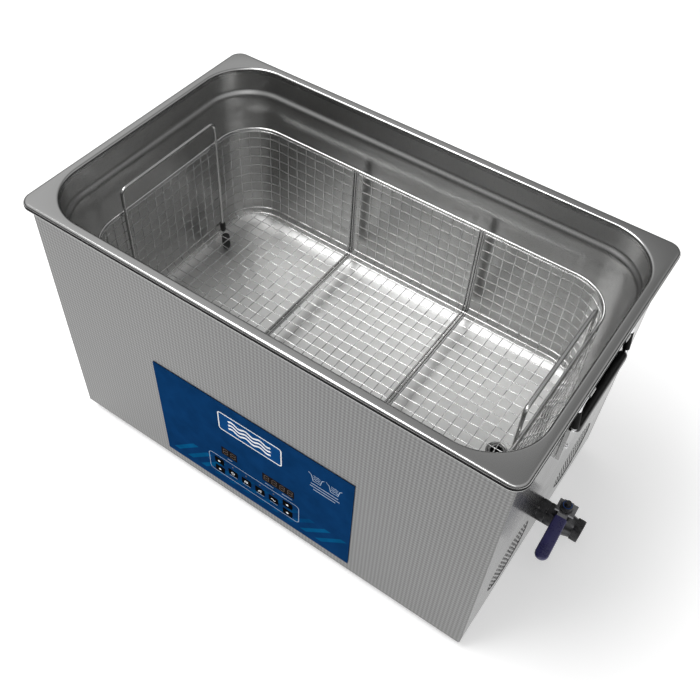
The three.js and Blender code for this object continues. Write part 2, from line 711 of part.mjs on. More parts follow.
const { hx: bx, hy: by, r: br, t: bt, z0: bz, ringZ, wireR } = basket;
piece('basket_tray', 'stainless', loft([
  ring(bx - 8, by - 8, br - 8, bz),
  ring(bx - 2, by - 2, br - 2, bz + 2),
  ring(bx, by, br, bz + 8),
  ring(bx, by, br, ringZ - wireR),
  ring(bx + 0.6, by + 0.6, br + 0.6, ringZ),
  ring(bx, by, br, ringZ + wireR),
  ring(bx - bt, by - bt, br - bt, ringZ + wireR),
  ring(bx - bt, by - bt, br - bt, bz + 8),
  ring(bx - bt - 2, by - bt - 2, br - bt - 2, bz + 2 + bt),
  ring(bx - bt - 8, by - bt - 8, br - bt - 8, bz + bt),
]));

for (const [side, s] of [['left', -1], ['right', 1]]) {
  piece(`basket_handle_${side}`, 'stainless', stirrup({
    x: s * bail.x, hy: bail.hy, z0: bz + 9, z1: bail.topZ, bend: 7, r: bail.r,
  }));
  for (const [end, y] of [['front', -bail.hy + 5], ['back', bail.hy - 5]]) {
    piece(`basket_foot_${end}_${side}`, 'black_rubber', turned('z', [
      [0, tankFloor + GAP], [3.4, tankFloor + GAP], [5, tankFloor + 2.5], [5, bz - GAP - 1],
      [4, bz - GAP], [0, bz - GAP],
    ], s * (bail.x - 8), y, 0, 12));
  }
}

machine.position.x = CENTRE_SHIFT;

export default machine;
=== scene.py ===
import math

import bmesh
import bpy
from mathutils import Matrix, Vector


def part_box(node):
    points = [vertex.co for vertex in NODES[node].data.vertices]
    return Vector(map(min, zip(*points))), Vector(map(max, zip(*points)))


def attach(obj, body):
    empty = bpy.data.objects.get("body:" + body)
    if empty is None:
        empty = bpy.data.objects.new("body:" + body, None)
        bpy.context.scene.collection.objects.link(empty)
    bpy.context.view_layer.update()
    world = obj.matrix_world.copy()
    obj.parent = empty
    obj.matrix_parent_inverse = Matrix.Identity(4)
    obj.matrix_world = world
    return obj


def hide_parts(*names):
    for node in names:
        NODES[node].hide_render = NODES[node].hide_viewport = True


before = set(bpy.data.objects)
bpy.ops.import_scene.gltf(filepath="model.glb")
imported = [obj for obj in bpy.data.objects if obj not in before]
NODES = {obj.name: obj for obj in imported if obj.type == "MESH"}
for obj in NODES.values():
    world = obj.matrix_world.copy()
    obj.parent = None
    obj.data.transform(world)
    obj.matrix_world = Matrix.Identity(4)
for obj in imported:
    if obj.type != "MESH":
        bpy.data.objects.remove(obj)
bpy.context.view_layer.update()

# Bench ultrasonic cleaner. All lengths below are in millimetres, with x and y measured from the
# middle of the tank and z from the surface it stands on; to_frame turns them into the CAD frame.

MM = 0.001


CENTRE_X = sum(corner[0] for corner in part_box("tank")) / 2


def box_mm(node):
    low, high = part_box(node)
    shift = Vector((CENTRE_X, 0, 0))
    return (Vector(low) - shift) / MM, (Vector(high) - shift) / MM


def middle(node):
    """The middle of a CAD node's box."""
    return [(a + b) / 2 for a, b in zip(*box_mm(node))]


tank_low, tank_high = box_mm("tank")
case_low, case_high = box_mm("casing_right")
film_low, film_high = box_mm("control_overlay")
tray_low, tray_high = box_mm("basket_tray")

RIM = tank_high.z
HX, HY = case_high.x, -box_mm("casing_front")[0].y
CASE_Z0, CASE_Z1 = case_low.z, case_high.z
FILM_Y = film_low.y
SHEET = 1.0
SHARP_ANGLE = 35


def to_frame(point):
    return (point[0] * MM + CENTRE_X, point[1] * MM, point[2] * MM)


# ------------------------------------------------------------------ mesh tools

def loft(rings, closed=False):
    """A skin over rings with the same number of points, capped at both ends unless closed."""
    n = len(rings[0])
    verts = [tuple(p) for ring in rings for p in ring]
    faces = []
    spans = len(rings) if closed else len(rings) - 1
    for k in range(spans):
        a, b = k * n, ((k + 1) % len(rings)) * n
        for i in range(n):
            j = (i + 1) % n
            faces.append((a + i, a + j, b + j, b + i))
    if not closed:
        last = (len(rings) - 1) * n
        faces.append(tuple(range(n - 1, -1, -1)))
        faces.append(tuple(last + i for i in range(n)))
    return verts, faces


def joined(parts):
    """Several solids as the mesh data of one piece."""
    verts, faces = [], []
    for part_verts, part_faces in parts:
        base = len(verts)
        verts += part_verts
        faces += [tuple(base + i for i in face) for face in part_faces]
    return verts, faces


def circle(r, n, start=0.0):
    return [(r * math.cos(start + 2 * math.pi * i / n), r * math.sin(start + 2 * math.pi * i / n))
            for i in range(n)]


def quarter(steps, first=0):
    """The angles of a quarter turn, in equal steps."""
    return [i / steps * math.pi / 2 for i in range(first, steps + 1)]


def round_box(x0, y0, x1, y1, r, steps=5):
    """The corner arcs of a rounded rectangle, anticlockwise, as pairs."""
    points = []
    for cx, cy, turn in ((x1 - r, y1 - r, 0), (x0 + r, y1 - r, 1), (x0 + r, y0 + r, 2),
                         (x1 - r, y0 + r, 3)):
        for i in range(steps + 1):
            a = (turn + i / steps) * math.pi / 2
            points.append((cx + r * math.cos(a), cy + r * math.sin(a)))
    return points


def tube(points, r, sides=8, closed=False):
    """A round bar along points, its section carried along without twisting."""
    pts = [Vector(p) for p in points]
    n = len(pts)
    rings = []
    normal = None
    for i, p in enumerate(pts):
        if closed:
            along = pts[(i + 1) % n] - pts[i - 1]
        else:
            along = pts[min(i + 1, n - 1)] - pts[max(i - 1, 0)]
        along.normalize()
        if normal is None:
            seed = Vector((0, 0, 1)) if abs(along.z) < 0.8 else Vector((1, 0, 0))
            normal = along.cross(seed).normalized()
        normal = (normal - along * normal.dot(along)).normalized()
        side = along.cross(normal)
        rings.append([p + normal * (r * c) + side * (r * s) for c, s in circle(1, sides)])
    return loft(rings, closed)


AXES = {
    "x": (Vector((0, 1, 0)), Vector((0, 0, 1)), Vector((1, 0, 0))),
    "y": (Vector((0, 0, 1)), Vector((1, 0, 0)), Vector((0, 1, 0))),
    "z": (Vector((1, 0, 0)), Vector((0, 1, 0)), Vector((0, 0, 1))),
}


def lathe(axis, profile, centre, sides=48, ring=False):
    """A turned solid. Each profile entry is (radius, distance along, half the width across the
    flats of a hexagon that trims it, or None). ring joins the profile's end to its start."""
    u, v, w = AXES[axis]
    rings = []
    for entry in profile:
        r, s = entry[0], entry[1]
        flat = entry[2] if len(entry) > 2 else None
        points = []
        for i in range(sides):
            a = 2 * math.pi * i / sides
            radius = max(r, 1e-3)
            if flat:
                radius = min(radius, flat / math.cos((a % (math.pi / 3)) - math.pi / 6))
            points.append(Vector(centre) + u * radius * math.cos(a) + v * radius * math.sin(a)
                          + w * s)
        rings.append(points)
    return loft(rings, ring)


def prism(outline, axis, a, b):
    """An outline swept along an axis. Its pairs are (y, z), (z, x) or (x, y) for x, y and z."""
    u, v, w = AXES[axis]
    return loft([[u * p + v * q + w * s for p, q in outline] for s in (a, b)])


def plate_y(outline, y0, y1):
    """An outline of (x, z) pairs with its faces towards the front and the back."""
    return loft([[(x, y, z) for x, z in outline] for y in (y1, y0)])


def block(low, high):
    x0, y0, z0 = low
    x1, y1, z1 = high
    return loft([[(x0, y0, z), (x1, y0, z), (x1, y1, z), (x0, y1, z)] for z in (z0, z1)])


def rounded(corners, bend, steps=6):
    """The points of a path that turns each inner corner with a round bend."""
    corners = [Vector(c) for c in corners]
    points = [corners[0]]
    for before, corner, after in zip(corners, corners[1:], corners[2:]):
        start = corner + (before - corner).normalized() * bend
        end = corner + (after - corner).normalized() * bend
        for i in range(steps + 1):
            t = i / steps
            points.append(start * (1 - t) ** 2 + corner * (2 * t * (1 - t)) + end * t ** 2)
    points.append(corners[-1])
    return points


def clean_mesh(name, data):
    """A mesh from data in millimetres, with its faces pointing out."""
    verts, faces = data
    mesh = bpy.data.meshes.new(name)
    mesh.from_pydata([to_frame(v) for v in verts], [], faces)
    mesh.validate()
    bm = bmesh.new()
    bm.from_mesh(mesh)
    bmesh.ops.recalc_face_normals(bm, faces=bm.faces[:])
    bm.to_mesh(mesh)
    bm.free()
    return mesh


def placed(name, data):
    """A new object in the scene."""
    item = bpy.data.objects.new(name, data)
    bpy.context.scene.collection.objects.link(item)
    return item


def shade(mesh, angle=SHARP_ANGLE):
    mesh.shade_smooth()
    mesh.set_sharp_from_angle(angle=math.radians(angle))


def make(name, data, look, body="body", replaces=(), bevel=0.0, smooth=SHARP_ANGLE):
    """A piece from mesh data, with its look, riding on its body. The slot goes with the look."""
    piece = placed(name, clean_mesh(name, data))
    shade(piece.data, smooth)
    piece.data.materials.append(mats[look])
    if bevel:
        add_bevel(piece, bevel)
    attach(piece, body)
    if replaces:
        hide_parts(*replaces)


def add_bevel(piece, width, segments=2):
    bevel = piece.modifiers.new("edges", "BEVEL")
    bevel.width = width * MM
    bevel.segments = segments
    bevel.limit_method = "ANGLE"
    bevel.angle_limit = math.radians(SHARP_ANGLE)
    bevel.harden_normals = True


def cut(name, data):
    """Cuts a solid, given as mesh data in millimetres, out of a piece for good."""
    piece = bpy.data.objects[name]
    mesh = clean_mesh("cutter", data)
    cutter = placed("cutter", mesh)
    boolean = piece.modifiers.new("cut", "BOOLEAN")
    boolean.operation = "DIFFERENCE"
    boolean.solver = "EXACT"
    boolean.object = cutter
    graph = bpy.context.evaluated_depsgraph_get()
    result = bpy.data.meshes.new_from_object(piece.evaluated_get(graph))
    piece.modifiers.remove(boolean)
    old = piece.data
    piece.data = result
    bpy.data.meshes.remove(old)
    bpy.data.objects.remove(cutter)
    bpy.data.meshes.remove(mesh)
    shade(piece.data)


# ------------------------------------------------------------------ materials

class Shader:
    """A Principled material with short names for the nodes that the recipes below share."""

    def __init__(self, name, color, metallic=0.0, roughness=0.4, **constants):
        self.material = bpy.data.materials.new(name)
        self.material.use_nodes = True
        self.tree = self.material.node_tree
        self.surface = self.tree.nodes["Principled BSDF"]
        self.color = (*color, 1.0)
        self.set("Base Color", self.color)
        self.set("Metallic", metallic)
        self.set("Roughness", roughness)
        for key, value in constants.items():
            self.set(key.replace("_", " "), value)
        self.coordinates = self.tree.nodes.new("ShaderNodeTexCoord").outputs["Object"]

    def set(self, socket, value):
        self.surface.inputs[socket].default_value = value

    def add(self, kind, inputs=(), **settings):
        node = self.tree.nodes.new(kind)
        for key, value in settings.items():
            setattr(node, key, value)
        for key, value in dict(inputs).items():
            if isinstance(value, bpy.types.NodeSocket):
                self.tree.links.new(value, node.inputs[key])
            else:
                node.inputs[key].default_value = value
        return node

    def math(self, operation, a, b=0.0, clamp=False):
        node = self.add("ShaderNodeMath", {0: a, 1: b}, operation=operation, use_clamp=clamp)
        return node.outputs[0]

    def stretched(self, scale):
        """Object coordinates, in millimetres times scale on each axis."""
        factors = tuple(s / MM for s in scale)
        node = self.add("ShaderNodeMapping", {"Vector": self.coordinates, "Scale": factors})
        return node.outputs[0]

    def noise(self, scale, detail=3.0, rough=0.55):
        """Noise with so many features to a millimetre, the same or one number for each axis."""
        if not isinstance(scale, tuple):
            scale = (scale, scale, scale)
        node = self.add("ShaderNodeTexNoise", {"Vector": self.stretched(scale), "Scale": 1.0,
                                               "Detail": detail, "Roughness": rough})
        return node.outputs["Fac"]

    def weighted(self, a, part_a, b, part_b):
        return self.math("ADD", self.math("MULTIPLY", a, part_a), self.math("MULTIPLY", b, part_b))

    def ramp(self, value, low, high, start=0.0, end=1.0):
        node = self.add("ShaderNodeMapRange", {"Value": value, "From Min": start,
                                               "From Max": end, "To Min": low, "To Max": high})
        return node.outputs["Result"]

    def blend(self, value, first, second):
        """From the first colour to the second as the value goes from 0 to 1."""
        node = self.add("ShaderNodeMix", {"Factor": value}, data_type="RGBA")
        for socket, color in ((6, first), (7, second)):
            if isinstance(color, bpy.types.NodeSocket):
                self.tree.links.new(color, node.inputs[socket])
            else:
                node.inputs[socket].default_value = (*color, 1.0)
        return node.outputs[2]

    def tint(self, value, dark, light):
        """The base colour, between two brightness factors."""
        low, high = (tuple(c * k for c in self.color[:3]) for k in (dark, light))
        return self.blend(value, low, high)

    def out(self, socket, value):
        self.tree.links.new(value, self.surface.inputs[socket])

    def bump(self, height, distance, strength=1.0):
        node = self.add("ShaderNodeBump", {"Height": height, "Distance": distance * MM,
                                           "Strength": strength})
        self.out("Normal", node.outputs[0])

    def edge_wear(self, amount):
        """A value from 0 on flat places to amount at sharp edges, from the bevelled normal."""
        bevel = self.add("ShaderNodeBevel", {"Radius": 0.6 * MM}, samples=4)
        geometry = self.add("ShaderNodeNewGeometry")
        dot = self.add("ShaderNodeVectorMath", {0: bevel.outputs[0],
                                                1: geometry.outputs["Normal"]},
                       operation="DOT_PRODUCT")
        gap = self.math("SUBTRACT", 1.0, dot.outputs["Value"], clamp=True)
        return self.ramp(gap, 0.0, amount, 0.0, 0.15)


def brushed(name, color, roughness, along=(1, 0.012, 1), grain=0.1, depth=0.004, cloud=0.08):
    """Satin metal: fine scratches along one way, with slow clouds of polish."""
    s = Shader(name, color, 1.0, roughness)
    fine = s.noise(tuple(6 * a for a in along), 4.0, 0.65)
    slow = s.noise(0.018, 2.0)
    mixed = s.weighted(fine, 0.6, slow, 0.4)
    s.out("Roughness", s.ramp(mixed, roughness - grain, roughness + grain, 0.3, 0.7))
    s.out("Base Color", s.tint(s.ramp(slow, 0, 1, 0.3, 0.7), 1 - cloud, 1 + cloud))
    s.bump(fine, depth, 0.6)
    return s.material


def linen(name, color, roughness):
    """Steel sheet embossed with rows of small slanted dashes, with painted shade that darkens the
    colour in their recesses.
    """
    s = Shader(name, color, 1.0, roughness)
    pitch_x, pitch_z = 4.17, 4.13
    split = s.add("ShaderNodeSeparateXYZ", {0: s.coordinates})
    u = s.math("MULTIPLY", split.outputs["X"], 2 * math.pi / (pitch_x * MM))
    v = s.math("MULTIPLY", split.outputs["Z"], 2 * math.pi / (pitch_z * MM))
    grid = s.math("ADD", s.math("COSINE", u), s.math("COSINE", v))
    slant = s.math("COSINE", s.math("SUBTRACT", s.math("MULTIPLY", u, 2.0), v))
    height = s.math("ADD", grid, s.math("MULTIPLY", slant, 0.45))
    relief_and_recess_shade = s.ramp(height, 0, 1, -1.6, 1.8)
    slow = s.noise((0.01, 0.01, 0.004), 2.0)
    fine = s.noise((0.6, 0.6, 4.0), 3.0)
    # Painted shade: the colour is darker in the embossing's recesses, with a slow random tone on
    # top.
    s.out("Base Color", s.tint(s.weighted(relief_and_recess_shade, 0.86, slow, 0.14), 0.7, 1.26))
    s.out("Roughness", s.ramp(s.math("ADD", relief_and_recess_shade, s.math("MULTIPLY", fine, 0.5)),
                              roughness + 0.1, roughness - 0.08, 0, 1.5))
    s.bump(relief_and_recess_shade, 0.1, 0.55)
    return s.material


def moulded(name, color, roughness, grain=0.02, size=1.6, wear=0.0, **constants):
    """Moulded plastic, rubber or paint with a fine grain."""
    s = Shader(name, color, 0.0, roughness, **constants)
    fine = s.noise(size, 3.0, 0.6)
    slow = s.noise(0.05, 2.0)
    s.out("Roughness", s.ramp(s.math("ADD", fine, slow), roughness - 0.07, roughness + 0.09,
                              0.7, 1.3))
    light = s.ramp(slow, 0.0, 0.7, 0.3, 0.7)
    if wear:
        light = s.math("ADD", light, s.edge_wear(wear), clamp=True)
    s.out("Base Color", s.tint(light, 0.85, 1.25 + wear))
    s.bump(fine, grain, 0.5)
    return s.material


def plated(name, color, roughness, wear=0.5, grain=0.012):
    """Cast and plated metal with rubbed edges."""
    s = Shader(name, color, 1.0, roughness)
    fine = s.noise(1.2, 4.0, 0.6)
    slow = s.noise(0.12, 3.0)
    s.out("Roughness", s.ramp(fine, roughness - 0.08, roughness + 0.12, 0.3, 0.7))
    light = s.math("ADD", s.ramp(slow, 0.0, 0.5, 0.3, 0.7), s.edge_wear(wear), clamp=True)
    s.out("Base Color", s.tint(light, 0.8, 1.6))
    s.bump(fine, grain, 0.5)
    return s.material


def drawn_steel(name, rim_color, wall_color, painted_light_floor_color, rim_rough, wall_rough, floor_rough):
    """Deep-drawn steel: a brushed rim, and a bath that is duller towards its floor, with painted
    light that makes its colour paler towards the floor.
    """
    s = Shader(name, rim_color, 1.0, rim_rough)
    height = s.add("ShaderNodeSeparateXYZ", {0: s.coordinates}).outputs["Z"]
    on_rim = s.ramp(height, 0, 1, (RIM - 7) * MM, (RIM - 1) * MM)
    depth = s.ramp(height, 0, 1, (RIM - 150) * MM, (RIM - 200) * MM)
    fine = s.noise((0.9, 0.9, 6), 3.0, 0.6)
    slow = s.noise(0.02, 2.0)
    bath = s.math("ADD", s.math("MULTIPLY", depth, floor_rough - wall_rough), wall_rough)
    grain = s.math("MULTIPLY", s.math("SUBTRACT", fine, 0.5), 0.06)
    base = s.math("ADD", bath, grain)
    flat = s.math("MULTIPLY", s.math("SUBTRACT", rim_rough, base), on_rim)
    s.out("Roughness", s.math("ADD", base, flat))
    cloud = s.math("MULTIPLY", s.math("SUBTRACT", slow, 0.5), 0.35)
    # Painted light: the bath's colour grows paler with depth towards the floor, with a slow random
    # tone on top.
    bath_tint_with_painted_light = s.blend(s.math("ADD", depth, cloud, clamp=True), wall_color, painted_light_floor_color)
    s.out("Base Color", s.blend(on_rim, bath_tint_with_painted_light, rim_color))
    s.bump(fine, 0.0004, 0.4)
    return s.material


def printed(name, color, roughness=0.34):
    """The panel's film and the inks on it, without a gloss."""
    return moulded(name, color, roughness, 0.004, 2.2, Specular_IOR_Level=0.0)


mats = {
    "pan": drawn_steel("pan_steel", (0.4, 0.4, 0.397), (0.5, 0.5, 0.496), (0.6, 0.6, 0.595),
                       0.22, 0.28, 0.42),
    "side": brushed("side_steel", (0.2, 0.2, 0.198), 0.2, (0.02, 0.02, 1), 0.05, 0.002),
    "plate": brushed("plate_steel", (0.36, 0.36, 0.357), 0.24, (1, 0.02, 1), 0.06),
    "wire": brushed("wire_steel", (0.52, 0.52, 0.516), 0.15, (1, 1, 1), 0.05, 0.0005),
    "linen": linen("linen_steel", (0.2, 0.2, 0.198), 0.36),
    "inner_steel": brushed("inner_steel", (0.42, 0.42, 0.42), 0.36, (0.05, 1, 1)),
    "chrome": plated("chrome", (0.72, 0.72, 0.73), 0.12, 0.1, 0.002),
    "lever": plated("lever_chrome", (0.3, 0.3, 0.31), 0.1, 0.9, 0.002),
    "nickel": plated("dark_nickel", (0.075, 0.075, 0.078), 0.3, 0.5),
    "aluminium": brushed("cast_aluminium", (0.4, 0.41, 0.42), 0.42, (1, 1, 1), 0.08, 0.02),
    "film": printed("blue_film", (0.0045, 0.038, 0.125), 0.33),
    "stripe": printed("stripe_print", (0.003, 0.085, 0.215)),
    "faint": printed("faint_stripe_print", (0.003, 0.056, 0.165)),
    "print": printed("pale_print", (0.36, 0.44, 0.55), 0.36),
    "white": printed("white_print", (0.88, 0.89, 0.9), 0.36),
    "badge": printed("badge_print", (0.006, 0.06, 0.2)),
    "key": moulded("key_plastic", (0.004, 0.004, 0.004), 0.38, 0.01, 3.0, 0.3,
                   Specular_IOR_Level=0.0),
    "plastic": moulded("black_plastic", (0.014, 0.014, 0.015), 0.42, 0.02, 2.0, 0.6),
    "rubber": moulded("black_rubber", (0.009, 0.009, 0.009), 0.62, 0.03, 1.4, 0.4),
    "seal": moulded("black_rubber_and_painted_band", (0.005, 0.005, 0.005), 0.5, 0.01, 1.4, 0.2,
                    Specular_IOR_Level=0.06),
    "grip": moulded("grip_rubber", (0.006, 0.006, 0.006), 0.3, 0.006, 1.4, 0.2,
                    Specular_IOR_Level=0.3),
    "vinyl": moulded("dipped_vinyl", (0.027, 0.024, 0.115), 0.3, 0.01, 0.5, 0.25,
                     Coat_Weight=0.3, Coat_Roughness=0.15),
    "lens": moulded("smoked_lens", (0.014, 0.011, 0.01), 0.3, 0.002, 1.0,
                    Specular_IOR_Level=0.0),
    "segment": moulded("unlit_segment", (0.13, 0.105, 0.095), 0.4, 0.004, 2.0,
                       Specular_IOR_Level=0.0),
    "led": moulded("unlit_lamp", (0.11, 0.06, 0.045), 0.25, 0.004, 2.0),
    "board": moulded("solder_mask", (0.012, 0.1, 0.034), 0.38, 0.03, 0.8),
    "foil": moulded("heater_foil", (0.49, 0.13, 0.013), 0.4, 0.03, 0.3),
    "nylon": moulded("nylon_ring", (0.02, 0.09, 0.36), 0.35, 0.01, 2.0),
    "brass": plated("pin_brass", (0.55, 0.42, 0.22), 0.25, 0.2, 0.004),
    "label": moulded("rating_label", (0.55, 0.55, 0.54), 0.4, 0.004, 2.0),
    "ink": moulded("grey_ink", (0.05, 0.05, 0.052), 0.5, 0.004, 2.0),
}

node_material = {
    "casing_front": "linen", "casing_back": "linen", "casing_left": "side",
    "casing_base": "inner_steel", "rim_seal": "rubber", "control_overlay": "film",
    "display_timer": "lens", "display_temp": "lens", "control_board": "board",
    "generator_board": "board", "heater_front": "foil", "heater_back": "foil",
    "thermostat": "aluminium", "heat_sink": "aluminium", "fan_frame": "plastic",
    "fan_rotor": "plastic", "power_inlet": "plastic", "rocker_switch": "plastic",
    "drain_pipe": "plate", "valve_lever": "lever", "valve_stem": "nickel",
}
bevels = {"valve_lever": 0.7, "power_inlet": 0.8, "rocker_switch": 0.5, "heat_sink": 0.3,
          "fan_frame": 0.5}
for name, node in NODES.items():
    key = node_material.get(name)
    if name.startswith("key_"):
        key = "key"
        add_bevel(node, 0.6, 3)
    elif name.startswith("transducer_"):
        key = "aluminium"
    elif name.startswith("handle_plate_"):
        key = "plate"
        add_bevel(node, 0.6)
    elif name in bevels:
        add_bevel(node, bevels[name])
    if key:
        node.data.materials.clear()
        node.data.materials.append(mats[key])

# ------------------------------------------------------------------ tank

WALL_T = 1.2
PAN = {"hx": 253.5, "hy": 151.0, "r": 55.0, "step": 4.2, "taper": 4.0, "floor_r": 24.0}
FLOOR_Z = tank_low.z + WALL_T
STEP_Z = RIM - 24
LEDGE = 8.5
RIM_HX, RIM_HY, RIM_R = tank_high.x, tank_high.y, 14.0
ROLL, LIP, MOUTH_ROLL = 3.6, 6.0, 3.0
EDGE_STEPS, CORNER_STEPS = 9, 24
INSIDE_SEAL = 0.08
DRAIN_X, DRAIN_BORE = 196.0, 7.5


def flat_ring(hx, hy, r, z):
    return [(x, y, z) for x, y in round_box(-hx, -hy, hx, hy, r, CORNER_STEPS)]


def pan_ring(inset, z, grow=0.0):
    return flat_ring(*(PAN[key] - inset + grow for key in ("hx", "hy", "r")), z)


def rim_ring(inset, z):
    return flat_ring(RIM_HX - inset, RIM_HY - inset, RIM_R - inset, z)


def pan_wall():
    """Inset from the mouth, height, and how much of the thickness lies under it."""
    wall = [(PAN["step"] + PAN["taper"] + PAN["floor_r"] * (1 - math.sin(a)),
             FLOOR_Z + PAN["floor_r"] * (1 - math.cos(a)), math.cos(a)) for a in quarter(10)]
    wall.append((PAN["step"] + 0.2, STEP_Z - 12, 0))
    for i in range(7):
        t = i / 6
        ease = t * t * (3 - 2 * t)
        wall.append((PAN["step"] * (1 - ease), STEP_Z - LEDGE + LEDGE * t, 0.0))
    return wall


def inner_mouth():
    """The roll from the flat rim down into the pan: how far outside the mouth, and the drop."""
    return [(MOUTH_ROLL * (1 - math.sin(a)), MOUTH_ROLL * (1 - math.cos(a))) for a in quarter(5)]


def rolled_edge(depth):
    """The rim's turned-down edge from its side to its top, so deep under the outer surface."""
    bend = ROLL - depth
    return [rim_ring(depth + bend * (1 - math.cos(a)), RIM - depth - bend * (1 - math.sin(a)))
            for a in quarter(EDGE_STEPS)]


def pan_rings():
    wall = pan_wall()
    outside = [pan_ring(inset, z - WALL_T * part, WALL_T) for inset, z, part in wall]
    under = [
        pan_ring(-0.2, RIM - 4.5, WALL_T),
        pan_ring(-1.2, RIM - WALL_T, WALL_T),
        *reversed(rolled_edge(WALL_T)),
        rim_ring(WALL_T, RIM - LIP),
    ]
    over = [rim_ring(INSIDE_SEAL, RIM - LIP), *rolled_edge(INSIDE_SEAL)]
    mouth = [pan_ring(-grow, RIM - drop) for grow, drop in inner_mouth()]
    inside = [pan_ring(inset, z) for inset, z, _ in reversed(wall)]
    return [*outside, *under, *over, *mouth, *inside]


def capped_loft(rings):
    """A loft whose end caps are fans on a middle point, so that the caps shade evenly."""
    n = len(rings[0])
    verts, faces = loft(rings)
    faces = faces[:-2]
    for ring, start, flip in ((rings[0], 0, True), (rings[-1], (len(rings) - 1) * n, False)):
        centre = len(verts)
        verts.append(tuple(sum(p[k] for p in ring) / n for k in range(3)))
        for i in range(n):
            pair = (start + i, start + (i + 1) % n)
            faces.append((centre, *(reversed(pair) if flip else pair)))
    return verts, faces


def painted_dark_band(steps=2, low=1.6, thick=0.6):
    """A black band round the rim's side and the first steps of its roll: a painted dark reflection
    on the lip.
    """
    outer, inner = ([rim_ring(depth, RIM - ROLL - low), *rolled_edge(depth)[:steps + 1]]
                    for depth in (0.0, thick))
    return loft([*outer, *reversed(inner)], closed=True)


make("bath_pan", capped_loft(pan_rings()), "pan", replaces=["tank"])
cut("bath_pan", lathe("z", [(DRAIN_BORE, -6), (DRAIN_BORE, 6)], (DRAIN_X, 0, FLOOR_Z), 40))
# The black band on the rim's lip stands in as a painted dark reflection.
make("rim_painted_dark_band", painted_dark_band(), "seal", smooth=60)
make("drain_flange", lathe("z", [
    (6.6, -1.1), (6.6, 0.3), (7.1, 0.9), (7.9, 0.9), (8.3, 0.4), (8.9, 0.3), (9.4, 1.0),
    (10.2, 1.4), (11.0, 1.2), (11.9, 0.05), (11.9, 0.02), (7.3, 0.02), (7.3, -1.1),
], (DRAIN_X, 0, FLOOR_Z), 48, ring=True), "side")

# ------------------------------------------------------------------ casing sides with grilles

VENT = {"y": 74.0, "z": RIM - 248, "r": 41.5, "pitch": 4.9, "hole": 1.75}
VENT_OUT, VENT_SHEET = HX - 0.5, 0.8
FOLD, FLANGE, CHAMFER = 3.4, 9, 0.8
DRAIN_Z = RIM - 258
PIPE_HOLE = 10.3


def side_outline(s):
    y = HY - FOLD - 0.3
    return [(s * x, yy) for x, yy in [
        (HX - CHAMFER, -y), (HX, -y + CHAMFER), (HX, y - CHAMFER), (HX - CHAMFER, y),
        (HX - FLANGE, y), (HX - FLANGE, y - SHEET), (HX - SHEET, y - SHEET),
        (HX - SHEET, -y + SHEET), (HX - FLANGE, -y + SHEET), (HX - FLANGE, -y)]]


def grille(s, y0):
    """A round field of a perforated sheet: hexagonal cells, each with a round hole."""
    pitch, hole = VENT["pitch"], VENT["hole"]
    x_out, x_in = s * VENT_OUT, s * (VENT_OUT - VENT_SHEET)
    reach = int(VENT["r"] / pitch) + 2
    grid = [((i + 0.5 * (j % 2)) * pitch, j * pitch * math.sqrt(3) / 2)
            for i in range(-reach, reach + 1) for j in range(-reach, reach + 1)]
    cells = [(y, z) for y, z in grid if math.hypot(y, z) < VENT["r"] + 0.5]
    verts, faces, known = [], [], {}

    def vertex(x, y, z):
        key = (round(x, 3), round(y, 3), round(z, 3))
        if key not in known:
            known[key] = len(verts)
            verts.append((x, y0 + y, VENT["z"] + z))
        return known[key]

    walls = {}
    for y, z in cells:
        rim_out, rim_in, hole_out, hole_in = [], [], [], []
        for k in range(12):
            a = math.radians(30 * k)
            r = pitch / math.sqrt(3) if k % 2 else pitch / 2
            for x, rim, edge in ((x_out, rim_out, hole_out), (x_in, rim_in, hole_in)):
                rim.append(vertex(x, y + r * math.cos(a), z + r * math.sin(a)))
                edge.append(vertex(x, y + hole * math.cos(a), z + hole * math.sin(a)))
        for k in range(12):
            m = (k + 1) % 12
            faces.append((rim_out[k], rim_out[m], hole_out[m], hole_out[k]))
            faces.append((rim_in[m], rim_in[k], hole_in[k], hole_in[m]))
            faces.append((hole_out[k], hole_out[m], hole_in[m], hole_in[k]))
            pair = tuple(sorted((rim_out[k], rim_out[m])))
            walls.setdefault(pair, []).append((rim_in[k], rim_in[m], rim_out[m], rim_out[k]))
    faces += [quads[0] for quads in walls.values() if len(quads) == 1]
    return verts, faces


for side, s in (("left", -1), ("right", 1)):
    make(f"side_panel_{side}", prism(side_outline(s), "z", CASE_Z0, CASE_Z1), "side",
         replaces=[f"casing_{side}"])
    holes = [(VENT["r"] - 1, y, VENT["z"], 64) for y in (-VENT["y"], VENT["y"])]
    if s > 0:
        holes.append((PIPE_HOLE, 0, DRAIN_Z, 40))
    for r, y, z, sides in holes:
        cut(f"side_panel_{side}", lathe("x", [(r, -8), (r, 8)], (s * HX, y, z), sides))
    for end, y in (("front", -VENT["y"]), ("back", VENT["y"])):
        make(f"vent_grille_{end}_{side}", grille(s, y), "plate", smooth=20)

# ------------------------------------------------------------------ basket of woven wire

# BX and BY are the mesh's half-sizes and BR its corners' radius. NX and NY count the openings
# between wires on each straight, N_CORNER those in a corner and N_UP those up the wall.
RING_R, SEAM_R = 1.6, 0.85
BX, BY, BR = tray_high.x - RING_R, tray_high.y - RING_R, 46.0
B_FLOOR = tray_low.z + 1.2
B_RING = tray_high.z - 1.7
B_BEND = 9.0
B_LOW = B_FLOOR + B_BEND
MESH_R = 0.56
CRIMP = 0.34
NX, NY, N_CORNER, N_UP = 29, 14, 6, 9
PITCH_X = 2 * (BX - BR) / NX
PITCH_Y = 2 * (BY - BR) / NY


def wall_offset(v, half_v, half_w):
    """Where a wall stands, at a distance v along the other one."""
    over = abs(v) - (half_v - BR)
    return half_w if over <= 0 else half_w - BR + math.sqrt(max(BR * BR - over * over, 0))


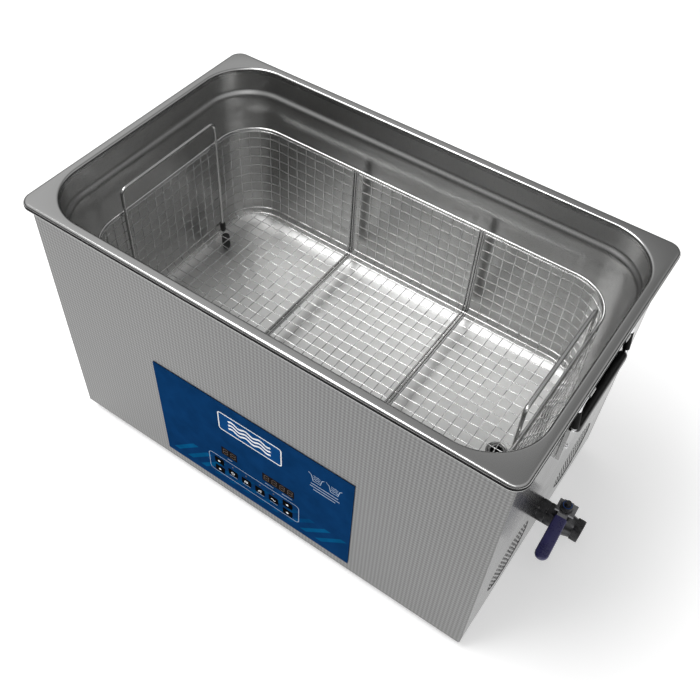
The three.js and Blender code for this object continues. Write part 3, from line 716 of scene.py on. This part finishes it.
def stations():
    """Around the basket: position and outward normal, at each upright wire and between them."""
    out = []
    sides = [
        (Vector((BX - BR, BY)), Vector((-1, 0)), Vector((0, 1)), NX, PITCH_X, 1),
        (Vector((-BX, BY - BR)), Vector((0, -1)), Vector((-1, 0)), NY, PITCH_Y, 2),
        (Vector((-BX + BR, -BY)), Vector((1, 0)), Vector((0, -1)), NX, PITCH_X, 3),
        (Vector((BX, -BY + BR)), Vector((0, 1)), Vector((1, 0)), NY, PITCH_Y, 0),
    ]
    for start, along, normal, count, pitch, quarter in sides:
        for i in range(2 * count):
            out.append((start + along * (i * pitch / 2), normal))
        middle = start + along * (count * pitch) - normal * BR
        for i in range(2 * N_CORNER):
            a = (quarter + i / (2 * N_CORNER)) * math.pi / 2
            n = Vector((math.cos(a), math.sin(a)))
            out.append((middle + n * BR, n))
    return out


STATIONS = stations()


def weave(k, phase):
    """Where a wire lies at its k-th station: 1 over, -1 under, and 0 between two crossings."""
    return (0, 1, 0, -1)[(k + 1 + 2 * phase) % 4]


def loop_wire(z, inset=0.0, phase=0, crimp=CRIMP):
    points = []
    for i, (p, n) in enumerate(STATIONS):
        q = p - n * (inset + crimp * weave(i, phase))
        points.append((q.x, q.y, z))
    return points


def upright(p, n, phase):
    """One wire down a wall, from the ring to the bend at the floor's edge."""
    points = []
    rows = 2 * N_UP
    for k in range(rows + 1):
        q = p + n * (CRIMP * weave(k, phase))
        points.append(Vector((q.x, q.y, B_RING + (B_LOW - B_RING) * k / rows)))
    return points


def bend_to_floor(p, n):
    points = []
    for a in quarter(4, 1):
        q = p - n * (B_BEND * (1 - math.cos(a)))
        points.append(Vector((q.x, q.y, B_FLOOR + B_BEND * (1 - math.sin(a)))))
    return points


def floor_run(start, end, pitch, phase):
    span = end - start
    count = max(2, 2 * round(span.length / pitch))
    points = []
    for k in range(1, count):
        q = start + span * (k / count)
        points.append(Vector((q.x, q.y, B_FLOOR + CRIMP * weave(k, phase))))
    return points


def mesh_wires():
    """Crimped loops round the walls, and wires down the walls and across the floor."""
    parts = []
    for k in range(1, N_UP + 1):
        z = B_RING - k * (B_RING - B_LOW) / N_UP
        parts.append(tube(loop_wire(z, phase=k % 2), MESH_R, 6, closed=True))
    for half, wall, count, pitch, other, way in (
            (BX, BY, NX, PITCH_X, PITCH_Y, Vector((0, 1))),
            (BY, BX, NY, PITCH_Y, PITCH_X, Vector((1, 0)))):
        extra = int((BR - 4) / pitch)
        for i in range(-extra, count + extra + 1):
            v = -(half - BR) + i * pitch
            w = wall_offset(v, half, wall)
            ends = [(Vector((v, s * w)) if way.y else Vector((s * w, v)), way * s)
                    for s in (-1, 1)]
            phase = i % 2
            start, end = (p - n * B_BEND for p, n in ends)
            points = floor_run(Vector((*start, 0)), Vector((*end, 0)), other, phase)
            if 0 <= i <= count:
                first, last = (upright(p, n, phase) + bend_to_floor(p, n) for p, n in ends)
                points = first + points + last[::-1]
            else:
                tips = [Vector((*(p - n * 2.5), B_FLOOR + 4)) for p, n in ends]
                points = [tips[0], Vector((*start, B_FLOOR + 0.8)), *points,
                          Vector((*end, B_FLOOR + 0.8)), tips[1]]
            parts.append(tube(points, MESH_R, 6))
    for i, (p, n) in enumerate(STATIONS):
        if i % 2 == 0 and abs(n.x) > 0.01 and abs(n.y) > 0.01:
            points = upright(p, n, (i // 2) % 2) + bend_to_floor(p, n)[:3]
            parts.append(tube(points, MESH_R, 6))
    return joined(parts)


def seam(x):
    """A doubled seam down one wall, across the floor and up the other: three wires, a strip."""
    parts = []
    for dx in (-2.6, 0.6, 3.0):
        y, z = BY - 1.2, B_FLOOR + 1.4
        path = [(x + dx, -y, B_RING), (x + dx, -y, z), (x + dx, y, z), (x + dx, y, B_RING)]
        parts.append(tube(rounded(path, 9, 6), SEAM_R, 8))
    y, z = BY + 0.8, B_FLOOR - 0.6
    strip = rounded([(x, -y, B_RING - 2), (x, -y, z), (x, y, z), (x, y, B_RING - 2)], 9, 6)
    wide, thick = 2.4, 0.7
    rings = []
    for p in strip:
        on_floor = p.z <= B_FLOOR + 1
        inward = 0 if on_floor else (-1 if p.y > 0 else 1)
        rings.append([(p.x + dx, p.y + t * inward, p.z + t * on_floor)
                      for dx, t in ((-wide, 0), (wide, 0), (wide, thick), (-wide, thick))])
    parts.append(loft(rings))
    return joined(parts)


make("basket_mesh", mesh_wires(), "wire", "basket", ["basket_tray"], smooth=60)

ring_wires = [(B_RING, 0.0, RING_R), (B_RING - 3.6, 0.0, 1.0), (B_LOW - 1.5, 0.0, 1.0),
              (B_FLOOR + 2.2, 4.2, 1.0)]
make("basket_ring_wires", joined([tube(loop_wire(z, inset, crimp=0.0), r, 10, closed=True)
                                  for z, inset, r in ring_wires]), "wire", "basket", smooth=60)

SEAM_X = (BX - BR) - 8 * PITCH_X - 4.0
make("basket_seams", joined([seam(-SEAM_X), seam(SEAM_X)]), "wire", "basket", smooth=60)

LEG = {"x": 226.0, "y": 71.0, "top": RIM - 29.5, "low": B_FLOOR + 8, "r": 2.0}
for side, s in (("left", -1), ("right", 1)):
    x, hy = s * LEG["x"], LEG["y"]
    path = [(x, -hy, LEG["low"]), (x, -hy, LEG["top"]), (x, hy, LEG["top"]), (x, hy, LEG["low"])]
    make(f"basket_bail_{side}", tube(rounded(path, 8, 8), LEG["r"], 16), "wire", "basket",
         [f"basket_handle_{side}"], smooth=60)
    for end, y in (("front", -hy), ("back", hy)):
        low, high = box_mm(f"basket_foot_{end}_{side}")
        z0, z1 = low.z, high.z
        foot = [(1.0, z0), (3.2, z0), (4.0, z0 + 0.8), (5.0, z0 + 3), (5.0, z1 - 5),
                (4.6, z1 - 4), (5.0, z1 - 3), (4.4, z1), (1.0, z1)]
        cx, cy, _ = middle(f"basket_foot_{end}_{side}")
        make(f"basket_boot_{end}_{side}", lathe("z", foot, (cx, cy, 0), 32), "rubber", "basket",
             [f"basket_foot_{end}_{side}"])
        cap = [(0.5, z1 + 0.5), (2.6, z1 + 0.5), (3.4, z1 + 2), (3.4, z1 + 11), (2.6, z1 + 13),
               (0.5, z1 + 13)]
        make(f"basket_leg_cap_{end}_{side}", lathe("z", cap, (x, y, 0), 24), "rubber", "basket")

# ------------------------------------------------------------------ carrying handles

GRIP_HY = 49.0
BAIL_R, BAIL_HY, SLEEVE_R = 2.4, 53, 3.3
PLATE_X = HX + 1.4
GRIP_ENDS = [(0.5, 0.985), (0.93, 1.0), (0.96, 0.96), (0.985, 0.86), (0.995, 0.7), (1.0, 0.45)]
GRIP_STOPS = [*((-y, k) for y, k in reversed(GRIP_ENDS)), (0, 0.975), *GRIP_ENDS]


def grip_section(gx, gz, y, k, wide=5.0, tall=7.0, sides=40):
    """The grip's squarish section at y, k times full size, with two moulding grooves on top."""
    points = []
    for i in range(sides):
        a = 2 * math.pi * i / sides
        c, q = math.cos(a), math.sin(a)
        lump = (abs(c) ** 3 + abs(q) ** 3) ** (-1 / 3)
        groove = 1 - 0.07 * math.exp(-((a - math.pi * 0.28) / 0.09) ** 2)
        groove -= 0.07 * math.exp(-((a - math.pi * 0.72) / 0.09) ** 2)
        points.append((gx + wide * k * c * lump * groove * 0.97, y,
                       gz + tall * k * q * lump * groove * 0.97))
    return points


for side, s in (("left", -1), ("right", 1)):
    body = f"handle_{side}"
    gx, _, gz = middle(f"handle_grip_{side}")
    low, high = box_mm(f"handle_bail_{side}")
    hinge_x = low.x + BAIL_R if s > 0 else high.x - BAIL_R
    hinge_z = high.z - BAIL_R
    path = [(hinge_x, -31, hinge_z), (hinge_x, -BAIL_HY, hinge_z), (gx, -BAIL_HY, gz),
            (gx, BAIL_HY, gz), (hinge_x, BAIL_HY, hinge_z), (hinge_x, 31, hinge_z)]
    make(f"carry_bail_{side}", tube(rounded(path, 7, 8), BAIL_R, 20), "chrome", body,
         [f"handle_bail_{side}"], smooth=60)

    # A thin black ribbed pad on the side panel behind each grip.
    ribs = [(0.3, 0.7, gz - 7.5 + 3.6 * k, gz - 5.7 + 3.6 * k) for k in range(10)]
    make(f"carry_black_pad_{side}", joined([
        block((min(s * (PLATE_X + x0), s * (PLATE_X + x1)), -GRIP_HY, z0),
              (max(s * (PLATE_X + x0), s * (PLATE_X + x1)), GRIP_HY, z1))
        for x0, x1, z0, z1 in [(0, 0.35, gz - 9.0, gz + 28.0), *ribs]]), "seal", bevel=0.12)
    make(f"carry_sleeve_{side}", joined([
        tube([(hinge_x + 0.2 * s, y, hinge_z - 8), (gx, y, gz + 6)], SLEEVE_R, 16)
        for y in (-BAIL_HY, BAIL_HY)]), "seal", body, smooth=50)
    make(f"carry_grip_{side}",
         loft([grip_section(gx, gz, y * GRIP_HY, k) for y, k in GRIP_STOPS]), "grip", body,
         [f"handle_grip_{side}"], smooth=50)

# ------------------------------------------------------------------ drain valve

V_X0, V_X1, STEM_X = HX + 9.3, HX + 48.5, HX + 24.7
FLAT = 12.0
thread = []
for i in range(6):
    thread += [(9.5, V_X1 - 1.2 - 1.4 * i), (8.9, V_X1 - 1.9 - 1.4 * i)]
valve = [
    (10.3, V_X0), (12.6, V_X0, FLAT), (13.9, V_X0 + 0.9, FLAT), (13.9, V_X0 + 7.4, FLAT),
    (12.6, V_X0 + 8.4, FLAT), (11.2, V_X0 + 8.6), (11.2, V_X0 + 9.8), (12.6, V_X0 + 11),
    (13.5, V_X0 + 12.8), (13.8, V_X0 + 15.5), (13.7, V_X0 + 19), (13.0, V_X0 + 23),
    (12.0, V_X0 + 26.5), (11.2, V_X1 - 9.6), (11.2, V_X1 - 8.7), (12.6, V_X1 - 8.6, FLAT),
    (13.9, V_X1 - 7.7, FLAT), (13.9, V_X1 - 1.0, FLAT), (12.6, V_X1, FLAT), (10.2, V_X1),
    (9.6, V_X1 - 0.6), *thread, (8.9, V_X1 - 10.2), (6.5, V_X1 - 10.4), (6.5, V_X0 + 9.2),
    (10.3, V_X0 + 9.2),
]
neck = [
    (1.0, 9.0), (8.4, 9.0), (8.0, 12.5), (8.0, 15.6), (8.05, 16.8, 7.0), (8.1, 20.2, 7.0),
    (7.2, 21.0, 7.0), (5.0, 21.0), (5.0, 20.0), (1.0, 20.0),
]
lugs = [lathe("z", [(0.5, 8), (1.9, 8), (1.9, 12.0), (1.4, 12.6), (0.5, 12.6)],
              (V_X0 + 13.4, y, DRAIN_Z), 16) for y in (-7.6, 7.6)]
make("valve_casting", joined([
    lathe("x", valve, (0, 0, DRAIN_Z), 72, ring=True),
    lathe("z", neck, (STEM_X, 0, DRAIN_Z), 72),
    *lugs,
]), "nickel", replaces=["valve_body"], smooth=28)
make("wall_nut", lathe("x", [
    (10.3, 0.3), (12.4, 0.3, FLAT), (13.9, 1.2, FLAT), (13.9, 7.9, FLAT), (12.4, 9.0, FLAT),
    (10.3, 9.0),
], (HX, 0, DRAIN_Z), 72, ring=True), "nickel", replaces=["drain_nut"], smooth=28)

nut_low, nut_high = box_mm("stem_nut")
make("stem_locknut", lathe("z", [
    (4.3, nut_low.z), (6.2, nut_low.z, 6.0), (7.0, nut_low.z + 0.5, 6.0),
    (7.0, nut_low.z + 3.8, 6.0), (6.1, nut_low.z + 4.4, 6.0), (5.6, nut_high.z - 0.3),
    (5.3, nut_high.z), (4.9, nut_high.z), (4.9, nut_high.z - 1.1), (4.3, nut_high.z - 1.1),
], (STEM_X, 0, 0), 72, ring=True), "nickel", "drain_lever", ["stem_nut"], smooth=28)
make("nylon_insert", lathe("z", [
    (4.15, nut_high.z - 1.0), (4.85, nut_high.z - 1.0), (4.85, nut_high.z - 0.1),
    (4.15, nut_high.z - 0.1),
], (STEM_X, 0, 0), 48, ring=True), "nylon", "drain_lever")

LEVER_TILT = math.radians(2.5)
SLEEVE = {"z": DRAIN_Z + 24 - 1.6 + 1.2, "half": 2.9, "round": 1.5, "end_r": 7.2, "w": 6.8,
          "end_y": -59.5, "top_y": -14.5}


def sleeve_ring(grow, z):
    """The sleeve's outline, drawn pointing at -y and then turned by the lever's tilt."""
    r, w, top = SLEEVE["end_r"] + grow, SLEEVE["w"] + grow, SLEEVE["top_y"] - grow
    outline = []
    for i in range(25):
        a = math.pi + i / 24 * math.pi
        outline.append((r * math.cos(a), SLEEVE["end_y"] + r * math.sin(a)))
    outline += [(w, top), (w * 0.5, top), (0, top), (-w * 0.5, top), (-w, top)]
    c, s = math.cos(LEVER_TILT), math.sin(LEVER_TILT)
    return [(STEM_X + c * x - s * y, s * x + c * y, z) for x, y in outline]


sleeve = []
for i in range(9):
    a = (i / 8 - 0.5) * math.pi
    bulge = math.cos(a) ** 0.8 if 0 < i < 8 else 0.0
    sleeve.append(sleeve_ring(SLEEVE["round"] * bulge - SLEEVE["round"],
                              SLEEVE["z"] + SLEEVE["half"] * math.sin(a)))
make("dipped_sleeve", loft(sleeve), "vinyl", "drain_lever", ["lever_sleeve"], smooth=50)

# ------------------------------------------------------------------ feet

for node in ("foot_front_left", "foot_front_right", "foot_back_left", "foot_back_right"):
    centre = (*middle(node)[:2], 0)
    top = box_mm(node)[1].z
    make(f"{node}_moulded", lathe("z", [
        (0.5, 2.5), (5.6, 2.5), (6.4, 1.6), (6.6, 0.0), (14.4, 0.0), (15.6, 0.5), (16.4, 1.5),
        (18.0, top - 1.6), (17.6, top - 0.5), (16.8, top), (0.5, top),
    ], centre, 48), "rubber", replaces=[node])
    make(f"{node}_screw", lathe("z", [(0.5, 0.6), (2.2, 0.6), (4.2, 1.3), (4.6, 2.4), (4.6, 2.5),
                                      (0.5, 2.5)], centre, 32), "chrome")

# ------------------------------------------------------------------ printed panel

def disc(x, z, r, n=20):
    return [(x + a, z + b) for a, b in circle(r, n)]


def stroke(points, width, closed=False):
    """A drawn line as one outline, with mitred corners."""
    path = [Vector(point) for point in points]
    path = [p for k, p in enumerate(path) if k == 0 or (p - path[k - 1]).length > 1e-6]
    if closed and (path[0] - path[-1]).length < 1e-6:
        path.pop()
    count = len(path)
    left, right = [], []
    for k, point in enumerate(path):
        before = path[k - 1] if k or closed else None
        after = path[(k + 1) % count] if k < count - 1 or closed else None
        ways = [(b - a).normalized() for a, b in ((before, point), (point, after)) if a and b]
        along = sum(ways, Vector((0, 0))).normalized()
        across = Vector((-along.y, along.x))
        reach = width / 2 / max(along.dot(ways[0]), 0.5)
        left.append(tuple(point + across * reach))
        right.append(tuple(point - across * reach))
    if closed:
        left.append(left[0])
        right.append(right[0])
    half = len(left) // 2 if closed else len(left) - 1
    pieces = [(0, half), (half, len(left) - 1)] if closed else [(0, half)]
    return [left[a:b + 1] + right[a:b + 1][::-1] for a, b in pieces]


def wave_path(x0, x1, z, height, turns, n=24):
    return [(x0 + (x1 - x0) * i / n, z + height * math.sin(2 * math.pi * turns * i / n))
            for i in range(n + 1)]


def decal(name, shapes, look, lift, y=FILM_Y, body="body"):
    """Printed shapes, raised a hair above the surface that they are printed on."""
    make(name, joined([plate_y(shape, y + 0.05, y - lift) for shape in shapes]), look, body)


def rel(z):
    return RIM + z


LINE = 0.75
STRIPE_RUN, STRIPE_W, STRIPE_PITCH = 31.0, 7.8, 19.6
STRIPE_X0, STRIPE_Z = -117, rel(-285.6)

stripes, faint_stripes = [], []
for i in range(11):
    x = STRIPE_X0 + i * STRIPE_PITCH
    if x + STRIPE_RUN + STRIPE_W > film_high.x - 2:
        break
    (faint_stripes if -60 < x < 50 else stripes).append([
        (x, STRIPE_Z), (x + STRIPE_W, STRIPE_Z),
        (x + STRIPE_W + STRIPE_RUN, STRIPE_Z + STRIPE_RUN),
        (x + STRIPE_RUN, STRIPE_Z + STRIPE_RUN)])
decal("panel_stripes", stripes, "stripe", 0.02)
decal("panel_faint_stripes", faint_stripes, "faint", 0.02)

decal("badge_field", [round_box(-41.5, rel(-186), 34.8, rel(-159), 2.6)], "badge", 0.04)
emblem = stroke(round_box(-42.7, rel(-187), 36, rel(-158), 3.0), 1.4, closed=True)
for z in (-166.5, -172.5, -178.5):
    emblem += stroke(wave_path(-30, 23, rel(z), 1.7, 3, 36), 2.5)
decal("badge_emblem", emblem, "white", 0.08)
decal("keypad_outline", stroke(round_box(-62.5, rel(-278), 57.5, rel(-245), 5.0, 8), LINE,
                               closed=True), "print", 0.08)

# Plain dashes stand for the captions: under the displays, under the keys and under the icons.
dashes = [(x0, x1, z, 0.9) for x0, x1, z in ((-36, -30, -239), (14, 25, -238.6),
                                             (36, 49, -238.6))]
dashes += [(x - 5, x + 5, -269.4, 0.7) for x in (-30.0, -11.8, 6.4, 24.6)]
dashes += [(72, 104, -181.5, 1.1), (71, 106, -186.2, 1.1), (75, 101, -190.9, 1.1)]
captions = []
for x0, x1, z, width in dashes:
    captions += stroke([(x0, rel(z)), (x1, rel(z))], width)
for x in (72.0, 92.5):
    z = rel(-176)
    captions += stroke([(x - 3, z + 12), (x + 0.5, z + 9), (x + 2.5, z), (x + 11, z),
                        (x + 13, z + 9), (x + 15.5, z + 11)], 0.8)
    for k in range(3):
        captions += stroke(wave_path(x + 3, x + 11, z + 3.5 + 3 * k, 0.6, 2, 12), 0.7)
decal("panel_captions", captions, "print", 0.08)

KEY_FACE = box_mm("key_power")[0].y


def key_mark(name, shapes):
    """White print on a key, from shapes drawn around the key's centre."""
    x, _, z = middle(name)
    decal(f"{name}_mark", [[(x + u, z + v) for u, v in shape] for shape in shapes], "white", 0.05,
          KEY_FACE, name)


for name in ("key_timer_up", "key_timer_down", "key_temp_up", "key_temp_down"):
    s = 1 if name.endswith("up") else -1
    key_mark(name, [[(-2.0, -0.2 * s), (0, 2.0 * s), (2.0, -0.2 * s), (0, -1.6 * s)]])
power_arc = [math.radians(35 + 29 * i) for i in range(11)]
key_mark("key_power", stroke([(2.0 * math.sin(a), 2.0 * math.cos(a)) for a in power_arc], LINE)
         + stroke([(0, 0.4), (0, 2.6)], 0.8))
key_mark("key_pulse", stroke([(-2.8, -1.4), (-1.6, -1.4), (-1.6, 1.6), (0, 1.6), (0, -1.4),
                              (1.6, -1.4), (1.6, 1.6), (2.8, 1.6)], LINE))
key_mark("key_degas", [disc(-1.5, -1.2, 0.9), disc(0.2, 0.6, 1.1), disc(1.9, 2.0, 0.7),
                       disc(1.7, -1.6, 0.7)])
key_mark("key_heat", stroke(wave_path(-2.8, 2.8, 0, 1.1, 1, 16), 0.9))

lamp = [(0.2, FILM_Y - 0.12), (0.7, FILM_Y - 0.1), (0.95, FILM_Y), (0.95, FILM_Y + 0.1),
        (0.2, FILM_Y + 0.1)]
make("key_lamps", joined([lathe("y", lamp, (middle(name)[0], 0, rel(-251)), 20) for name in
                          ("key_power", "key_pulse", "key_degas", "key_heat")]), "led")


def digit(x, z, w=5.6, h=9.0, t=0.85, slant=0.6):
    """Seven slanted segments around a centre."""
    bars = []
    for sx, sz in ((-1, 1), (1, 1), (-1, -1), (1, -1)):
        cx = x + sx * w / 2
        z0, z1 = (0.5, h / 2 - 0.5) if sz > 0 else (-h / 2 + 0.5, -0.5)
        bars.append([(cx - t / 2, z0 + 0.4), (cx, z0), (cx + t / 2, z0 + 0.4),
                     (cx + t / 2, z1 - 0.4), (cx, z1), (cx - t / 2, z1 - 0.4)])
    for level in (-1, 0, 1):
        zc = level * h / 2
        bars.append([(x - w / 2 + 0.5, zc), (x - w / 2 + 1.0, zc + t / 2),
                     (x + w / 2 - 1.0, zc + t / 2), (x + w / 2 - 0.5, zc),
                     (x + w / 2 - 1.0, zc - t / 2), (x - w / 2 + 1.0, zc - t / 2)])
    return [[(px + slant * pz / h, z + pz) for px, pz in bar] for bar in bars]


for name, count in (("display_timer", 2), ("display_temp", 4)):
    low, high = box_mm(name)
    pitch = (high.x - low.x) / count
    shapes = []
    for i in range(count):
        shapes += digit(low.x + (i + 0.5) * pitch, middle(name)[2])
    decal(f"{name}_digits", shapes, "segment", 0.04, low.y)

# ------------------------------------------------------------------ back and small fittings

BACK_Y = HY + 0.3
HOOD = {"y": HY - 0.2, "deep": 2.6, "tall": 3.2, "pitch": 9, "xs": (-170, -100)}
INLET_X, SOCKET_Z = 150, 88


def screw(x, y, z, axis, s, r=3.2):
    """A raised screw head with a dimple in its middle, facing along s times its axis."""
    head = [(0.3, -0.5), (r, -0.5), (r, 0.5), (r * 0.93, 1.0), (r * 0.72, 1.5), (r * 0.6, 1.6),
            (r * 0.5, 1.1), (0.3, 1.0)]
    return lathe(axis, [(a, b * s) for a, b in head], (x, y, z), 28)


def hood(x, z):
    """One louvre hood, its ends flattened into the sheet."""
    y0, tall = HOOD["y"], HOOD["tall"]
    arc = []
    for k in range(7):
        a = k / 6 * math.pi
        arc.append((y0 + HOOD["deep"] * math.sin(a) ** 0.7 if 0 < k < 6 else y0,
                    z + tall * (1 - math.cos(a)) / 2))
    outline = [*arc, (HY - 0.6, z + tall), (HY - 0.6, z)]
    flat = [(HY - 0.4 + (y - HY + 0.4) * 0.15, zz) for y, zz in outline]
    return loft([[(x + dx, y, zz) for y, zz in shape]
                 for dx, shape in ((-29, flat), (-27, outline), (27, outline), (29, flat))])


for side, s in (("left", -1), ("right", 1)):
    make(f"handle_screws_{side}", joined([screw(s * (HX + 4.1), y, z, "x", s, 2.6)
                                          for y in (-30, 30) for z in (RIM - 74, RIM - 100)]),
         "chrome")
make("back_screws", joined([screw(x, BACK_Y - 0.2, z, "y", 1) for x in (-235, -80, 80, 235)
                            for z in (CASE_Z0 + 12, CASE_Z1 - 22)]), "chrome")
make("louvre_hoods", joined([hood(x, 48 + i * HOOD["pitch"]) for i in range(6)
                             for x in HOOD["xs"]]), "linen")
make("socket_pins", joined([
    block((x - 1.0, BACK_Y - 16.5, z - 2.0), (x + 1.0, BACK_Y - 3.0, z + 2.0))
    for x, z in ((INLET_X, SOCKET_Z + 3.2), (INLET_X - 7, SOCKET_Z - 1.2),
                 (INLET_X + 7, SOCKET_Z - 1.2))]), "brass", bevel=0.3)
make("fuse_drawer", joined([
    block((INLET_X - 15, BACK_Y + 2.3, 67.6), (INLET_X + 15, BACK_Y + 3.2, 77.6)),
    block((INLET_X - 4, BACK_Y + 3.0, 69.4), (INLET_X + 4, BACK_Y + 3.9, 71.2)),
]), "plastic", bevel=0.3)
make("rating_plate", plate_y([(190, 150), (245, 150), (245, 185), (190, 185)], HY + 0.35,
                             HY - 0.1), "label")
make("rating_plate_lines", joined([
    plate_y(shape, HY + 0.42, HY + 0.3) for k, x1 in enumerate((238, 226, 240, 218, 232, 210))
    for shape in stroke([(195, 180 - 5 * k), (x1, 180 - 5 * k)], 1.0)]), "ink")

# ------------------------------------------------------------------ floor, light and camera

FLOOR_SIZE = 6.0
corners = [(x * FLOOR_SIZE, y * FLOOR_SIZE, 0) for x, y in ((-1, -1), (1, -1), (1, 1), (-1, 1))]
ground = bpy.data.meshes.new("studio_floor")
ground.from_pydata(corners, [], [(0, 1, 2, 3)])
floor = placed("studio_floor", ground)
paper = Shader("studio_paper", (0.9, 0.9, 0.9), 0.0, 0.9, Emission_Color=(1, 1, 1, 1),
               Emission_Strength=0.32)
floor.data.materials.append(paper.material)

SKY_STRENGTH = 1.6
world = bpy.data.worlds.new("studio")
bpy.context.scene.world = world
world.use_nodes = True
tree = world.node_tree
background = tree.nodes["Background"]
coordinates = tree.nodes.new("ShaderNodeTexCoord")
split = tree.nodes.new("ShaderNodeSeparateXYZ")
tree.links.new(coordinates.outputs["Generated"], split.inputs[0])


def world_ramp(value, stops):
    """Grey levels along a value from 0 to 1."""
    node = tree.nodes.new("ShaderNodeValToRGB")
    tree.links.new(value, node.inputs[0])
    ramp = node.color_ramp
    ramp.elements[0].position, ramp.elements[1].position = stops[0][0], stops[-1][0]
    for position, level in stops[1:-1]:
        ramp.elements.new(position).color = (level, level, level, 1)
    for end, (position, level) in ((0, stops[0]), (-1, stops[-1])):
        ramp.elements[end].color = (level, level, level, 1)
    return node.outputs[0]


# Dark below, brighter above, and across from left to right bright, dark and bright again.
upward = world_ramp(split.outputs["Z"], [
    (0.0, 0.04), (0.3, 0.1), (0.5, 0.5), (0.6, 0.64), (0.8, 0.64), (1.0, 0.7)])
half = tree.nodes.new("ShaderNodeMapRange")
tree.links.new(split.outputs["X"], half.inputs["Value"])
half.inputs["From Min"].default_value = -1.0
sideways = world_ramp(half.outputs["Result"], [
    (0.0, 1.0), (0.2, 0.9), (0.27, 0.66), (0.33, 0.64), (0.4, 0.42), (0.46, 0.3),
    (0.56, 0.31), (0.7, 0.7), (1.0, 0.62)])
sky = tree.nodes.new("ShaderNodeMix")
sky.data_type = "RGBA"
sky.blend_type = "MULTIPLY"
sky.inputs[0].default_value = 1.0
tree.links.new(upward, sky.inputs[6])
tree.links.new(sideways, sky.inputs[7])
tree.links.new(sky.outputs[2], background.inputs[0])
background.inputs["Strength"].default_value = SKY_STRENGTH


def softbox(name, location, target, size, power):
    light = bpy.data.lights.new(name, "AREA")
    light.shape = "RECTANGLE"
    light.size, light.size_y = size
    light.energy = power
    lamp = placed(name, light)
    lamp.location = location
    aim = Vector(target) - Vector(location)
    lamp.rotation_euler = aim.to_track_quat("-Z", "Y").to_euler()


# Places and sizes in metres, powers in watts.
softbox("top_softbox", (-0.7, -0.5, 2.1), (0, 0, 0), (1.4, 0.95), 27)
softbox("front_softbox", (0.0, -0.9, 1.95), (0, 0, 0.2), (2.0, 0.5), 9)

# The camera's target and distance are in metres, its focal length and sensor in millimetres.
TARGET, DISTANCE = Vector((0.0147, -0.0587, 0.2)), 0.861
FOCAL_LENGTH, SENSOR, SHIFT = 44.8, 36, (0.018, 0.0209)
AZIMUTH, ELEVATION, CAMERA_ROLL = (math.radians(a) for a in (32.52, 51.02, 3.29))
forward = Vector((-math.sin(AZIMUTH) * math.cos(ELEVATION),
                  math.cos(AZIMUTH) * math.cos(ELEVATION), -math.sin(ELEVATION)))
level = forward.cross(Vector((0, 0, 1))).normalized()
lifted = level.cross(forward)
right = level * math.cos(CAMERA_ROLL) + lifted * math.sin(CAMERA_ROLL)
up = right.cross(forward)
lens = bpy.data.cameras.new("camera")
lens.lens, lens.sensor_width = FOCAL_LENGTH, SENSOR
lens.shift_x, lens.shift_y = SHIFT
lens.clip_start = 0.01
camera = placed("camera", lens)
camera.matrix_world = Matrix.Translation(TARGET - forward * DISTANCE) @ Matrix(
    (right, up, -forward)).transposed().to_4x4()
bpy.context.scene.camera = camera
bpy.context.scene.view_settings.view_transform = "Standard"
